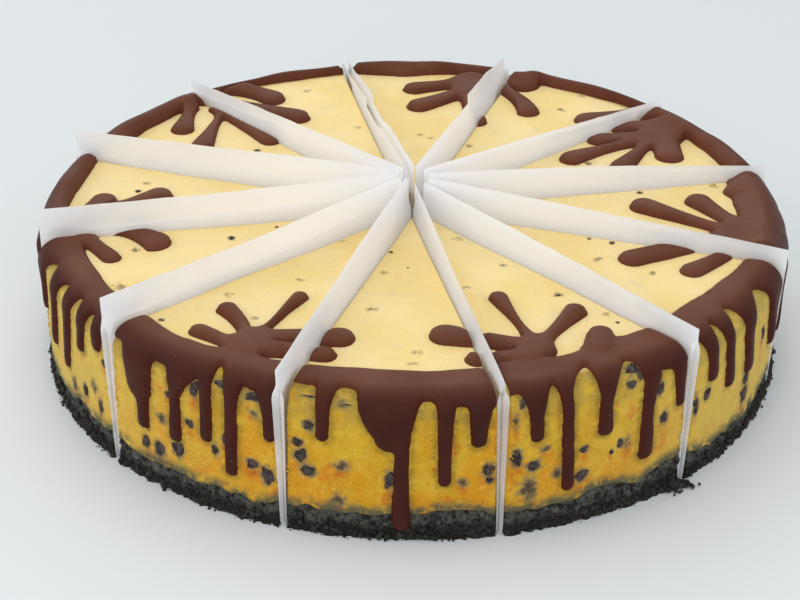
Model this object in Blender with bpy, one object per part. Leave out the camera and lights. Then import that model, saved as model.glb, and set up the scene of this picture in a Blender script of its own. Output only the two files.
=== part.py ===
"""Baked chocolate chip cheesecake, cut into twelve slices with folded papers between them.

Every slice is a crumb crust, a baked filling and a poured chocolate coat whose drips run
down the side and whose splashes lie on the top. Sizes are in millimetres and angles in
degrees, counted from +X towards +Y; the front of the cake looks along -Y. MM turns the
millimetres into Blender's metres. The origin is the cake's centre on the surface below it.
"""
import math
import random

import bpy
import bmesh
from mathutils import Vector, noise
from mathutils.geometry import delaunay_2d_cdt

MM = 0.001

# The whole cake
CAKE_RADIUS = 117.0
TOP_Z = 45.0
RIM_ROUND = 6.0
CRUST_TOP = 7.0
SLICE_NAMES = "abcdefghijkl"
FIRST_CUT = -107.9
SLICE_ANGLE = 360.0 / len(SLICE_NAMES)

# The cuts lean apart, so each gap is wider at the top
HALF_GAP_LOW = 1.2
HALF_GAP_HIGH = 2.1
CLEARANCE = 0.3
ROUND_STEPS = 12

# The crumb crust
CRUST_INSET_RADIUS = 108.0
CRUST_EDGE_MEAN = 8.3
CRUST_EDGE_SWING = 2.4
CRAG_DEPTH = 1.3
CRAG_SIZE = 4.5

# The chocolate coat
COAT_GAP = 0.4
COAT_THICK = 1.9
COAT_LIP = 0.6
COAT_EDGE_WIDTH = 1.5
COAT_STEP = 4.75
COAT_ROOT_OVERLAP = 3.0
COAT_MERGE = 0.3
RIM_RINGS = 3
END_STEPS = 4
SMALLEST_SPLASH = 6.0
# Inner radius of the coat on the top, at each cut and at the middle of each slice
COAT_RADIUS = (
    105, 103, 101, 100.5, 100, 102, 104.5, 104, 105, 106.5, 108, 109,
    108, 106, 108, 111, 108, 106, 108.5, 109, 107, 105.5, 106.5, 107.5,
)

# Drips that the front shows: azimuth, height of the tip
DRIPS = {
    "a": ((-102.1, 31.0), (-91.4, 3.1), (-85.6, 18.0), (-81.1, 30.4)),
    "b": ((-73.4, 29.9), (-68.3, 11.7), (-63.0, 27.3), (-55.9, 14.6), (-50.2, 27.8)),
    "c": ((-43.8, 31.1), (-39.0, 24.7), (-33.4, 23.8), (-27.2, 30.5), (-20.8, 23.8)),
    "k": ((-162.2, 38.2), (-156.8, 20.7), (-150.9, 19.5), (-145.4, 30.3), (-140.3, 35.6)),
    "l": ((-130.8, 18.5), (-124.5, 18.3), (-119.2, 22.5), (-115.3, 13.8), (-109.5, 27.9)),
}
# Tops of the arches between those drips: azimuth, distance below the flat top's edge
ARCHES = {
    "a": ((-105.0, 1.9), (-99.3, 1.4), (-87.9, 4.3), (-83.6, 5.9), (-79.3, 5.5)),
    "b": ((-76.3, 4.3), (-70.5, 2.0), (-65.5, -1.0), (-58.0, 1.3), (-52.6, 7.1)),
    "c": ((-45.2, 3.4), (-41.0, 2.8), (-36.0, 1.8), (-30.0, 3.0), (-24.0, 2.0)),
    "k": ((-158.6, 4.0), (-153.4, 4.2), (-148.3, 3.8), (-142.9, 4.6)),
    "l": ((-127.8, 7.0), (-121.5, 8.3), (-117.4, 1.8), (-112.2, 6.4)),
}
DRIP_HALF = 2.2
DRIP_TIP_HALF = 2.4
DRIP_ROOT_HALF = 3.6
DRIP_FLARE = 8.0
WIDE_DRIP = ("a", -91.4)
WIDE_DRIP_ROOT_HALF = 9.0
WIDE_DRIP_FLARE = 19.0
HIDDEN_DRIP_SEED = 7
HIDDEN_DRIP_SPACING = (5.0, 7.4)
HIDDEN_DRIP_TIPS = (13.0, 34.0)
HIDDEN_ARCHES = (1.5, 6.0)

# Splashes: the palm's place and radius, then fingers as (tip radius from the cake's centre,
# azimuth of the tip, half width of the tip), with the finger's root where it isn't the palm
SPLASHES = (
    ((99.7, -119.8, 7.5), (
        ((104.8, -128.2, 4.5),),
        ((89.2, -129.0, 3.6),),
        ((70.5, -116.9, 3.7), (95.0, -117.8)),
        ((86.8, -101.0, 4.2),),
        ((97.1, -101.8, 3.8),),
    )),
    ((97.0, -67.6, 6.5), (
        ((66.3, -69.2, 3.5),),
        ((84.9, -55.2, 4.2),),
        ((100.0, -55.4, 5.0), (106.0, -55.4)),
        ((83.4, -87.0, 4.3),),
        ((96.7, -81.5, 3.6),),
    )),
    ((103.1, -13.2, 8.0), (
        ((69.9, 0.7, 4.2),),
        ((87.0, 3.1, 3.9),),
        ((102.0, 7.8, 5.2), (108.0, 6.0)),
        ((70.9, -31.4, 4.6),),
        ((90.8, -28.6, 4.6), (103.0, -17.0)),
    )),
    ((105.8, 33.1, 8.5), (
        ((86.7, 49.5, 3.8),),
        ((88.6, 40.0, 3.6),),
        ((76.0, 38.2, 3.6),),
        ((58.2, 34.7, 4.2),),
        ((73.2, 24.2, 3.8),),
        ((92.4, 22.0, 6.0),),
        ((110.5, 44.0, 4.5),),
    )),
    ((101.1, 80.0, 9.0), (
        ((93.4, 91.6, 4.4),),
        ((75.4, 91.0, 4.4),),
        ((66.0, 70.0, 4.0),),
        ((84.3, 58.6, 4.6),),
        ((104.0, 64.8, 5.0),),
    )),
    ((108.0, 130.5, 7.0), (
        ((93.1, 119.6, 4.3),),
        ((75.0, 119.5, 4.3),),
        ((64.6, 136.0, 4.0),),
        ((83.2, 149.4, 4.2),),
        ((97.5, 146.4, 5.0),),
    )),
    ((108.0, -167.0, 7.5), (
        ((94.0, 179.4, 4.0),),
        ((77.2, 176.8, 4.2),),
        ((79.3, -158.6, 4.4),),
        ((95.5, -156.0, 4.2), (104.0, -164.5)),
    )),
)
FINGER_WIDTHS = ((0.0, 3.2), (0.4, 2.3))
FINGER_NEAR_TIP = (0.8, 0.85)

# The folded papers: radius and height of the outer top corner, height of the top edge at
# half the radius and at the middle of the cake, and how far the two leaves stand apart there
PAPERS = (
    (119.8, 52.6, 56.5, 58.8, 4.6),
    (115.5, 50.2, 52.4, 56.5, 4.2),
    (118.4, 51.8, 54.0, 56.0, 4.6),
    (119.3, 49.8, 53.2, 56.4, 4.8),
    (119.2, 49.0, 54.0, 56.8, 5.0),
    (119.5, 48.8, 53.2, 57.0, 4.4),
    (112.0, 53.0, 55.4, 57.4, 5.0),
    (119.0, 49.0, 53.6, 57.2, 6.0),
    (119.5, 51.3, 54.4, 57.4, 4.8),
    (118.6, 54.7, 56.0, 57.6, 5.2),
    (117.6, 55.3, 55.8, 57.8, 5.0),
    (118.7, 55.2, 55.2, 57.6, 6.2),
)
PAPER_THICK = 0.35
PAPER_FOOT_RADIUS = 116.6
PAPER_INNER_RADIUS = 5.0
PAPER_FOLD_Z = 0.3
PAPER_LEAF_LEVELS = (2.2, 22.0, 47.6)
PAPER_STATIONS = (0.0, 0.15, 0.5, 0.82, 1.0)
PAPER_SPACE = 0.25

COLOURS = {
    "filling": ((0.70, 0.47, 0.12), 0.62),
    "crust": ((0.022, 0.019, 0.018), 0.90),
    "ganache": ((0.105, 0.035, 0.022), 0.42),
    "paper": ((0.82, 0.80, 0.77), 0.70),
}


def remove_all_objects():
    for thing in list(bpy.data.objects):
        bpy.data.objects.remove(thing, do_unlink=True)


def make_material(name):
    colour, roughness = COLOURS[name]
    material = bpy.data.materials.new(name)
    material.use_nodes = True
    shader = material.node_tree.nodes["Principled BSDF"]
    shader.inputs["Base Color"].default_value = (*colour, 1.0)
    shader.inputs["Roughness"].default_value = roughness
    shader.inputs["Metallic"].default_value = 0.0
    return material


def add_object(name, points, faces, material, smooth_angle=None):
    """One closed mesh object from points in millimetres, with its faces pointing out."""
    mesh = bpy.data.meshes.new(name)
    mesh.from_pydata([Vector(p) * MM for p in points], [], faces)
    body = bmesh.new()
    body.from_mesh(mesh)
    bmesh.ops.remove_doubles(body, verts=body.verts, dist=0.02 * MM)
    bmesh.ops.recalc_face_normals(body, faces=body.faces)
    body.to_mesh(mesh)
    body.free()
    mesh.materials.append(material)
    if smooth_angle is not None:
        mesh.shade_smooth()
        mesh.set_sharp_from_angle(angle=math.radians(smooth_angle))
    part = bpy.data.objects.new(name, mesh)
    bpy.context.scene.collection.objects.link(part)
    return part


def polar(radius, azimuth):
    angle = math.radians(azimuth)
    return (radius * math.cos(angle), radius * math.sin(angle))


def between(low, high, part):
    return low + (high - low) * part


def table_value(table, place):
    """Straight-line value in a table of (place, value) rows, held level past its ends."""
    if place <= table[0][0]:
        return table[0][1]
    for (start, low), (end, high) in zip(table, table[1:]):
        if place <= end:
            return between(low, high, (place - start) / (end - start))
    return table[-1][1]


def half_gap(z):
    """Distance from the middle of a cut to the slice beside it, at a height."""
    return between(HALF_GAP_LOW, HALF_GAP_HIGH, z / TOP_Z)


def cut_azimuth(index):
    return FIRST_CUT + SLICE_ANGLE * index


def gap_angle(radius, z):
    """Angle that half the gap takes up at a radius, as far as the slice's tip."""
    tip_sine = math.sin(math.radians(SLICE_ANGLE / 2))
    return math.degrees(math.asin(min(half_gap(z) / radius, tip_sine)))


def tip_radius(z):
    return half_gap(z) / math.sin(math.radians(SLICE_ANGLE / 2))


def slice_point(index, across, radius, z):
    """Point of a slice, with across running from 0 at its first cut to 1 at its second."""
    margin = gap_angle(radius, z)
    start = cut_azimuth(index) + margin
    end = cut_azimuth(index + 1) - margin
    return (*polar(radius, between(start, end, across)), z)


def swept_slice(name, index, profile, material, smooth_angle):
    """Solid of one slice: the closed profile, a function of azimuth, swept between its cuts."""
    middle = cut_azimuth(index)
    rows = []
    for step in range(ROUND_STEPS + 1):
        across = step / ROUND_STEPS
        outline = profile(middle + SLICE_ANGLE * across)
        rows.append([slice_point(index, across, radius, z) for radius, z in outline])
    count = len(rows[0])
    points = [point for row in rows for point in row]
    faces = [list(range(count)), list(range(ROUND_STEPS * count, len(points)))[::-1]]
    for step in range(ROUND_STEPS):
        first = rows[step]
        for corner in range(count):
            following = (corner + 1) % count
            a, b = step * count + corner, step * count + following
            c, d = b + count, a + count
            # The diagonal starts at the outer corner, so faces that meet are split alike
            if math.hypot(*first[corner][:2]) > math.hypot(*first[following][:2]):
                faces += [[a, b, c], [a, c, d]]
            else:
                faces += [[a, b, d], [b, c, d]]
    return add_object(name, points, faces, material, smooth_angle)


def crag(azimuth, z):
    """How far the crumbs stand out of the crust's side."""
    x, y = polar(CAKE_RADIUS / CRAG_SIZE, azimuth)
    return CRAG_DEPTH * noise.noise(Vector((x, y, z / CRAG_SIZE)))


def crust_edge(azimuth):
    """Ragged height of the crust where it shows at the side."""
    x, y = polar(CAKE_RADIUS / (2.4 * CRAG_SIZE), azimuth)
    return CRUST_EDGE_MEAN + CRUST_EDGE_SWING * noise.noise(Vector((x, y, 0.0)))


def crust_profile(azimuth):
    edge = crust_edge(azimuth)
    levels = (0.32 * edge, 0.68 * edge)
    side = [(CAKE_RADIUS + crag(azimuth, z), z) for z in levels]
    foot = (CAKE_RADIUS - 0.6 + 0.4 * crag(azimuth, 0.0), 0.0)
    brow = (CAKE_RADIUS - 0.3 + 0.5 * crag(azimuth, edge), edge)
    shelf = (CRUST_INSET_RADIUS, CRUST_TOP)
    return [(tip_radius(0.0), 0.0), foot, *side, brow, shelf, (tip_radius(CRUST_TOP), CRUST_TOP)]


def rim_points():
    """The filling's rounded rim, from the side up to the flat top."""
    points = []
    for step in range(4):
        angle = math.radians(30.0 * step)
        radius = CAKE_RADIUS - RIM_ROUND * (1.0 - math.cos(angle))
        points.append((radius, TOP_Z - RIM_ROUND * (1.0 - math.sin(angle))))
    return points


def filling_profile(azimuth):
    low = CRUST_TOP + CLEARANCE
    edge = crust_edge(azimuth) + CLEARANCE
    side_foot = (CAKE_RADIUS - 0.3 + 0.5 * crag(azimuth, edge), edge)
    top = (tip_radius(TOP_Z), TOP_Z)
    return [(tip_radius(low), low), (CRUST_INSET_RADIUS, low), side_foot, *rim_points(), top]


def add_cake_slices(crust_material, filling_material):
    for index, letter in enumerate(SLICE_NAMES):
        swept_slice(f"crust_{letter}", index, crust_profile, crust_material, 25)
        swept_slice(f"filling_{letter}", index, filling_profile, filling_material, 40)


# The coat is laid out on a flat chart: the top as it is, and the rim and side unrolled
# outwards from it. A distance "down" is 0 at the flat top's edge and grows over the rim.
FLAT_RADIUS = CAKE_RADIUS - RIM_ROUND
RIM_LENGTH = RIM_ROUND * math.pi / 2
SIDE_TOP = TOP_Z - RIM_ROUND


def chart_point(azimuth, down):
    return polar(FLAT_RADIUS + down, azimuth)


def skin_point(chart, height):
    """Point of the coat over a chart point, at a height above the filling."""
    reach = math.hypot(*chart)
    down = reach - FLAT_RADIUS
    turn = min(max(down / RIM_ROUND, 0.0), math.pi / 2)
    radius = min(reach, FLAT_RADIUS) + (RIM_ROUND + height) * math.sin(turn)
    z = SIDE_TOP + (RIM_ROUND + height) * math.cos(turn) - max(down - RIM_LENGTH, 0.0)
    return (chart[0] / reach * radius, chart[1] / reach * radius, z)


class Stroke:
    """A run of chocolate from start to end, with a half width along it and a round end.

    A finger lies on the flat top in x and y. A drip lies on the side, in distance round
    the cake and distance down.
    """

    def __init__(self, start, end, widths, on_side=False):
        self.start = Vector(start)
        self.along = Vector(end) - self.start
        self.widths = widths
        self.on_side = on_side

    def to_chart(self, point):
        if self.on_side:
            return chart_point(math.degrees(point[0] / CAKE_RADIUS), point[1])
        return tuple(point)

    def from_chart(self, chart):
        if not self.on_side:
            return Vector(chart)
        middle = self.start.x / CAKE_RADIUS
        turn = math.atan2(chart[1], chart[0]) - middle
        turn = (turn + math.pi) % (2 * math.pi) - math.pi
        return Vector(((middle + turn) * CAKE_RADIUS, math.hypot(*chart) - FLAT_RADIUS))

    def depth(self, chart):
        """How deep a chart point lies inside the stroke, negative outside it."""
        point = self.from_chart(chart) - self.start
        part = point.dot(self.along) / self.along.length_squared
        part = min(max(part, 0.0), 1.0)
        return table_value(self.widths, part) - (point - self.along * part).length

    def outline(self, inset, end_steps):
        across = Vector((-self.along.y, self.along.x)).normalized()
        forward = self.along.normalized()
        left, right = [], []
        for part, half in self.widths[:-1]:
            left.append(self.start + self.along * part + across * (half - inset))
            right.append(self.start + self.along * part - across * (half - inset))
        half = self.widths[-1][1] - inset
        end = self.start + self.along
        cap = []
        for step in range(end_steps + 1):
            angle = math.pi * step / end_steps
            cap.append(end + across * half * math.cos(angle) + forward * half * math.sin(angle))
        return [self.to_chart(point) for point in left + cap + right[::-1]]

    def crest(self):
        """Line along the thickest chocolate: the middle of a drip, a loop in a finger."""
        if not self.on_side:
            return self.outline(COAT_EDGE_WIDTH, END_STEPS - 1)
        parts = [part for part, half in self.widths]
        return [self.to_chart(self.start + self.along * part) for part in parts]


class Palm:
    """The round middle of a splash."""

    def __init__(self, radius, azimuth, size):
        self.centre = Vector(polar(radius, azimuth))
        self.size = size

    def depth(self, chart):
        return self.size - (Vector(chart) - self.centre).length

    def outline(self, inset, steps):
        size = self.size - inset
        turns = [math.tau * step / (2 * steps) for step in range(2 * steps)]
        return [tuple(self.centre + Vector((math.cos(a), math.sin(a))) * size) for a in turns]

    def crest(self):
        return [tuple(self.centre)]


def coat_inner_down(azimuth):
    """Distance down of the coat's inner edge on the top, which is negative."""
    half_slices = (azimuth - FIRST_CUT) / SLICE_ANGLE * 2
    first = math.floor(half_slices)
    count = len(COAT_RADIUS)
    here = COAT_RADIUS[first % count]
    following = COAT_RADIUS[(first + 1) % count]
    return between(here, following, half_slices - first) - FLAT_RADIUS


def hidden_drips(letter, index):
    """Drips and arches of a slice that the front doesn't show, by a seeded rule."""
    draw = random.Random(HIDDEN_DRIP_SEED + index)
    drips, arches = [], []
    azimuth = cut_azimuth(index) + draw.uniform(2.8, 4.0)
    while azimuth < cut_azimuth(index + 1) - 2.4:
        drips.append((azimuth, draw.uniform(*HIDDEN_DRIP_TIPS)))
        step = draw.uniform(*HIDDEN_DRIP_SPACING)
        arches.append((azimuth + step / 2, draw.uniform(*HIDDEN_ARCHES)))
        azimuth += step
    return drips, arches


def drip_stroke(azimuth, tip_z, root_half, flare, start_down):
    """One drip, flared where it leaves the coat."""
    turn = math.radians(azimuth) * CAKE_RADIUS
    end_down = RIM_LENGTH + SIDE_TOP - tip_z - DRIP_TIP_HALF
    length = end_down - start_down
    flare = min(flare, 0.8 * length)
    widths = ((0.0, root_half), (flare / length, DRIP_HALF), (1.0, DRIP_TIP_HALF))
    return Stroke((turn, start_down), (turn, end_down), widths, on_side=True)


def slice_drips(letter, index):
    """The drips of one slice and the line of its arches."""
    if letter in DRIPS:
        drips, arches = DRIPS[letter], ARCHES[letter]
    else:
        drips, arches = hidden_drips(letter, index)
    strokes = []
    for azimuth, tip_z in drips:
        start = table_value(arches, azimuth) - COAT_ROOT_OVERLAP
        if (letter, azimuth) == WIDE_DRIP:
            strokes.append(drip_stroke(azimuth, tip_z, WIDE_DRIP_ROOT_HALF, WIDE_DRIP_FLARE, start))
        else:
            strokes.append(drip_stroke(azimuth, tip_z, DRIP_ROOT_HALF, DRIP_FLARE, start))
    return strokes, arches


def splash_shapes():
    """All palms and fingers on the top."""
    shapes = []
    for palm, fingers in SPLASHES:
        shapes.append(Palm(*palm))
        for finger in fingers:
            tip_reach, tip_azimuth, tip_half = finger[0]
            root = finger[1] if len(finger) > 1 else palm[:2]
            near_part, near_share = FINGER_NEAR_TIP
            widths = (*FINGER_WIDTHS, (near_part, tip_half * near_share), (1.0, tip_half))
            tip = polar(tip_reach, tip_azimuth)
            shapes.append(Stroke(polar(*root), tip, widths))
    return shapes


class Band:
    """The coat round the rim of one slice, from its inner edge to the line of the arches."""

    def __init__(self, index, arches):
        self.start = cut_azimuth(index) - 4.0
        self.end = cut_azimuth(index + 1) + 4.0
        self.arches = arches
        self.steps = round((self.end - self.start) / COAT_STEP)

    def depth(self, chart):
        middle = (self.start + self.end) / 2
        turn = math.degrees(math.atan2(chart[1], chart[0])) - middle
        azimuth = middle + (turn + 180.0) % 360.0 - 180.0
        down = math.hypot(*chart) - FLAT_RADIUS
        return min(down - coat_inner_down(azimuth), table_value(self.arches, azimuth) - down)

    def edge(self, down_at, shift):
        azimuths = [between(self.start, self.end, k / self.steps) for k in range(self.steps + 1)]
        return [chart_point(azimuth, down_at(azimuth) + shift) for azimuth in azimuths]

    def outline(self, inset, end_steps):
        lower = self.edge(lambda azimuth: table_value(self.arches, azimuth), -inset)
        return self.edge(coat_inner_down, inset)[::-1] + lower

    def ring(self, down):
        return self.edge(lambda azimuth: down, 0.0)


def rim_downs():
    return [RIM_LENGTH * step / RIM_RINGS for step in range(RIM_RINGS + 1)]


def wedge_outline(index):
    """Outline of one slice on the chart, from its tip down to the foot of its side."""
    foot = RIM_LENGTH + SIDE_TOP - 1.5
    downs = [tip_radius(TOP_Z) - FLAT_RADIUS]
    downs += rim_downs()
    downs += [foot]
    first, second = [], []
    for down in downs:
        radius = math.hypot(*skin_point(chart_point(0.0, down), 0.0)[:2])
        z = skin_point(chart_point(0.0, down), 0.0)[2]
        margin = gap_angle(radius, z)
        first.append(chart_point(cut_azimuth(index) + margin, down))
        second.append(chart_point(cut_azimuth(index + 1) - margin, down))
    return first + second[:0:-1]


def near_slice(shape, index):
    """Whether a splash shape reaches the slice, by the azimuths of its outline."""
    middle = cut_azimuth(index) + SLICE_ANGLE / 2
    for x, y in shape.outline(0.0, 6):
        turn = (math.degrees(math.atan2(y, x)) - middle + 180.0) % 360.0 - 180.0
        if abs(turn) < SLICE_ANGLE / 2:
            return True
    return False


def coat_layout(index, band, shapes):
    """Triangles of one slice's coat on the chart, from the outlines of all its shapes."""
    points, edges, faces = [], [], []

    def add_line(line):
        first = len(points)
        points.extend(Vector(point) for point in line)
        edges.extend((first + k, first + k + 1) for k in range(len(line) - 1))

    def add_face(outline):
        area = sum(p[0] * q[1] - q[0] * p[1] for p, q in zip(outline, outline[1:] + outline[:1]))
        outline = outline if area > 0 else outline[::-1]
        first = len(points)
        points.extend(Vector(point) for point in outline)
        faces.append(list(range(first, first + len(outline))))

    add_face(wedge_outline(index))
    for shape in [band, *shapes]:
        add_face(shape.outline(0.0, END_STEPS))
    for down in rim_downs():
        add_line(band.ring(down))
    add_line(band.edge(coat_inner_down, COAT_EDGE_WIDTH))
    for shape in shapes:
        add_line(shape.crest())
    result = delaunay_2d_cdt(points, edges, faces, 1, COAT_MERGE)
    kept = []
    for corners, owners in zip(result[2], result[5]):
        if 0 in owners and len(owners) > 1:
            kept.append(tuple(corners))
    return result[0], kept


def joined_groups(triangles):
    """Triangles sorted into groups that share edges, the largest group first."""
    by_edge = {}
    for number, corners in enumerate(triangles):
        for a, b in zip(corners, corners[1:] + corners[:1]):
            by_edge.setdefault(frozenset((a, b)), []).append(number)
    neighbours = {number: set() for number in range(len(triangles))}
    for sharing in by_edge.values():
        for number in sharing:
            neighbours[number].update(sharing)
    groups, seen = [], set()
    for number in range(len(triangles)):
        if number in seen:
            continue
        group, waiting = [], [number]
        seen.add(number)
        while waiting:
            here = waiting.pop()
            group.append(triangles[here])
            for other in sorted(neighbours[here] - seen):
                seen.add(other)
                waiting.append(other)
        groups.append(group)
    return sorted(groups, key=len, reverse=True)


def chart_area(points, triangles):
    total = 0.0
    for a, b, c in triangles:
        total += abs((points[b] - points[a]).cross(points[c] - points[a])) / 2
    return total


def coat_height(chart, shapes):
    """Thickness of the coat, rounded off towards the edge of the poured chocolate."""
    deepest = max(shape.depth(chart) for shape in shapes)
    part = min(max(deepest / COAT_EDGE_WIDTH, 0.0), 1.0)
    return COAT_LIP + (COAT_THICK - COAT_LIP) * math.sqrt(1.0 - (1.0 - part) ** 2)


def add_skin(name, points, triangles, shapes, material):
    """Closed skin over the filling from triangles on the chart."""
    used = sorted({corner for corners in triangles for corner in corners})
    place = {corner: number for number, corner in enumerate(used)}
    count = len(used)
    top = [skin_point(points[k], COAT_GAP + coat_height(points[k], shapes)) for k in used]
    bottom = [skin_point(points[k], COAT_GAP) for k in used]
    faces, open_edges = [], {}
    for corners in triangles:
        a, b, c = (place[corner] for corner in corners)
        faces.append([a, b, c])
        faces.append([c + count, b + count, a + count])
        for edge in ((a, b), (b, c), (c, a)):
            if edge[::-1] in open_edges:
                del open_edges[edge[::-1]]
            else:
                open_edges[edge] = True
    for a, b in open_edges:
        faces.append([b, a, a + count, b + count])
    return add_object(name, top + bottom, faces, material, 50)


def add_coats(material):
    splashes = splash_shapes()
    for index, letter in enumerate(SLICE_NAMES):
        drips, arches = slice_drips(letter, index)
        band = Band(index, arches)
        shapes = drips + [shape for shape in splashes if near_slice(shape, index)]
        points, triangles = coat_layout(index, band, shapes)
        groups = joined_groups(triangles)
        add_skin(f"ganache_{letter}", points, groups[0], [band, *shapes], material)
        number = 0
        for group in groups[1:]:
            if chart_area(points, group) < SMALLEST_SPLASH:
                continue
            number += 1
            add_skin(f"splash_{letter}_{number}", points, group, [band, *shapes], material)


def paper_half_width(radius, z, spread):
    """Half the width over both leaves, inside the cut and past the papers beside it."""
    inside = half_gap(min(z, PAPER_LEAF_LEVELS[-1])) - CLEARANCE
    if z > PAPER_LEAF_LEVELS[-1]:
        inside = max(spread / 2, inside)
    return min(inside, radius * math.sin(math.radians(SLICE_ANGLE / 2)) - PAPER_SPACE)


def paper_section(radius, top_z, spread):
    """Closed outline of the folded paper across the cut, as (sideways, height) points."""
    levels = [*PAPER_LEAF_LEVELS, top_z]
    halves = [paper_half_width(radius, z, spread) for z in levels]
    outer = list(zip(halves, levels))
    inner = [(half - PAPER_THICK, z) for half, z in outer]
    right = outer + inner[::-1]
    left = [(-side, z) for side, z in right]
    fold = [(0.0, PAPER_FOLD_Z)]
    crease = [(0.0, PAPER_FOLD_Z + PAPER_THICK)]
    return fold + right + crease + left[::-1]


def add_papers(material):
    for number, (corner_radius, corner_z, middle_z, inner_z, spread) in enumerate(PAPERS):
        edge = ((0.0, inner_z), (0.5, middle_z), (1.0, corner_z))
        rows = []
        for part in PAPER_STATIONS:
            top_z = table_value(edge, part)
            middle = between(PAPER_INNER_RADIUS, corner_radius, part)
            row = []
            for side, z in paper_section(middle, top_z, spread):
                lift = min(z / corner_z, 1.0)
                outer = between(PAPER_FOOT_RADIUS, corner_radius, lift)
                radius = between(PAPER_INNER_RADIUS, outer, part)
                x, y = polar(radius, cut_azimuth(number))
                sideways = polar(side, cut_azimuth(number) + 90.0)
                row.append((x + sideways[0], y + sideways[1], z))
            rows.append(row)
        count = len(rows[0])
        points = [point for row in rows for point in row]
        faces = [list(range(count)), list(range(len(points) - count, len(points)))[::-1]]
        for step in range(len(rows) - 1):
            for corner in range(count):
                following = (corner + 1) % count
                first = step * count
                second = first + count
                faces.append([
                    first + corner, first + following, second + following, second + corner])
        add_object(f"paper_{number + 1}", points, faces, material, 40)


def main():
    remove_all_objects()
    materials = {name: make_material(name) for name in COLOURS}
    add_cake_slices(materials["crust"], materials["filling"])
    add_coats(materials["ganache"])
    add_papers(materials["paper"])


main()
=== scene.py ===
"""Looks of the baked cheesecake: filling, crust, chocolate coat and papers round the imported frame.

Sizes are in millimetres and angles in degrees, counted from +X towards +Y, as in the part's
source; MM turns them into metres. Every piece is mesh, made once from seeded rules.
"""
import math
import random

import bmesh
import bpy
import numpy as np
from mathutils import Matrix


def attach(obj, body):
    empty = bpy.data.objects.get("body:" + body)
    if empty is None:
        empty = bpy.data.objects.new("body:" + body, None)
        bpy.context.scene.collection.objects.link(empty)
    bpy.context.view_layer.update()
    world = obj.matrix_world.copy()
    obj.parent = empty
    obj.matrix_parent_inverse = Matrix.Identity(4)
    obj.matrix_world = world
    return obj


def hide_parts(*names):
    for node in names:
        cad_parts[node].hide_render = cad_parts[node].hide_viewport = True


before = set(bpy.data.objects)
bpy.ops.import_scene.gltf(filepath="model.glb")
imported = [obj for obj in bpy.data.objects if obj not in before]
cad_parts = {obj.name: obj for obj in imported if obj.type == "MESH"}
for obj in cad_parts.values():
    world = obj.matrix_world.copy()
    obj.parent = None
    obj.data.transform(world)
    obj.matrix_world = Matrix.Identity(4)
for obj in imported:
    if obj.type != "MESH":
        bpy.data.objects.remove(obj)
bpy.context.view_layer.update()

MM = 0.001

# The whole cake, as the solids have it
CAKE_RADIUS = 117.0
TOP_Z = 45.0
RIM_ROUND = 6.0
CRUST_TOP = 7.0
SLICE_NAMES = "abcdefghijkl"
FIRST_CUT = -107.9
SLICE_ANGLE = 360.0 / len(SLICE_NAMES)
HALF_SLICE = math.radians(SLICE_ANGLE / 2)
HALF_GAP_LOW = 1.2
HALF_GAP_HIGH = 2.1
CLEARANCE = 0.3

FLAT_RADIUS = CAKE_RADIUS - RIM_ROUND
RIM_LENGTH = RIM_ROUND * math.pi / 2
SIDE_TOP = TOP_Z - RIM_ROUND

# The chocolate coat: radius of its inner edge at the first cut of each slice, one and two
# thirds of the way across, and at the second cut
COAT_EDGES = {
    "a": (103.2, 100.9, 101.6, 101.2),
    "b": (100.0, 101.5, 100.3, 101.8),
    "c": (101.5, 101.1, 103.4, 106.8),
    "d": (104.0, 103.4, 102.2, 104.5),
    "e": (107.5, 108.0, 108.5, 109.0),
    "f": (112.0, 110.3, 109.8, 113.0),
    "g": (111.0, 110.0, 106.9, 110.8),
    "h": (111.5, 110.2, 111.6, 112.0),
    "i": (110.0, 107.5, 107.2, 108.5),
    "j": (109.4, 108.2, 109.2, 108.0),
    "k": (105.2, 104.9, 104.5, 104.4),
    "l": (104.3, 106.3, 104.8, 103.2),
}
COAT_THICK = 1.85
COAT_STEP = 0.5
# Distance down from the flat top's edge where the coat's grid starts and ends
COAT_DOWN = (-58.0, 46.0)
# How far the coat's edge and its underside lie inside the filling, and how wide it rounds off
COAT_SINK = 0.6
COAT_BACK = -0.75
COAT_SPREAD = 1.7
# Bead along the rim of the slices at the back: extra height, distance down and half width
COAT_BEAD = 2.6
COAT_BEAD_DOWN = -0.5
COAT_BEAD_HALF = 4.2

# Drips: azimuth of the root, azimuth and height of the tip, half width, half width of the tip
DRIPS = {
    "a": ((-101.9, -102.2, 30.8, 2.0, 1.9), (-91.4, -91.5, 3.1, 2.0, 2.4),
          (-85.7, -85.7, 17.7, 1.9, 1.8), (-81.5, -81.2, 30.0, 2.2, 2.2)),
    "b": ((-73.6, -73.1, 29.5, 2.0, 1.9), (-69.0, -68.3, 11.5, 1.8, 1.9),
          (-63.1, -62.9, 26.9, 2.1, 2.3), (-55.9, -55.8, 14.3, 1.95, 2.6),
          (-50.2, -49.8, 27.4, 1.6, 1.7)),
    "c": ((-43.7, -42.6, 29.6, 1.9, 2.0), (-39.4, -37.9, 23.2, 2.0, 2.2),
          (-33.9, -31.8, 22.0, 2.4, 2.6), (-23.4, -21.2, 20.5, 3.2, 2.8)),
    "k": ((-163.5, -165.6, 23.0, 2.0, 2.1), (-155.2, -158.0, 18.8, 2.1, 2.2),
          (-149.7, -151.8, 17.5, 2.0, 2.1), (-144.5, -146.1, 28.9, 1.9, 2.0),
          (-140.2, -141.1, 33.9, 2.0, 2.1)),
    "l": ((-130.4, -130.9, 17.8, 2.1, 2.2), (-124.4, -124.8, 18.2, 1.9, 2.2),
          (-119.1, -119.4, 22.1, 2.0, 1.9), (-115.2, -115.5, 13.2, 2.0, 2.1),
          (-109.4, -109.6, 27.6, 2.0, 2.0)),
}
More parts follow.
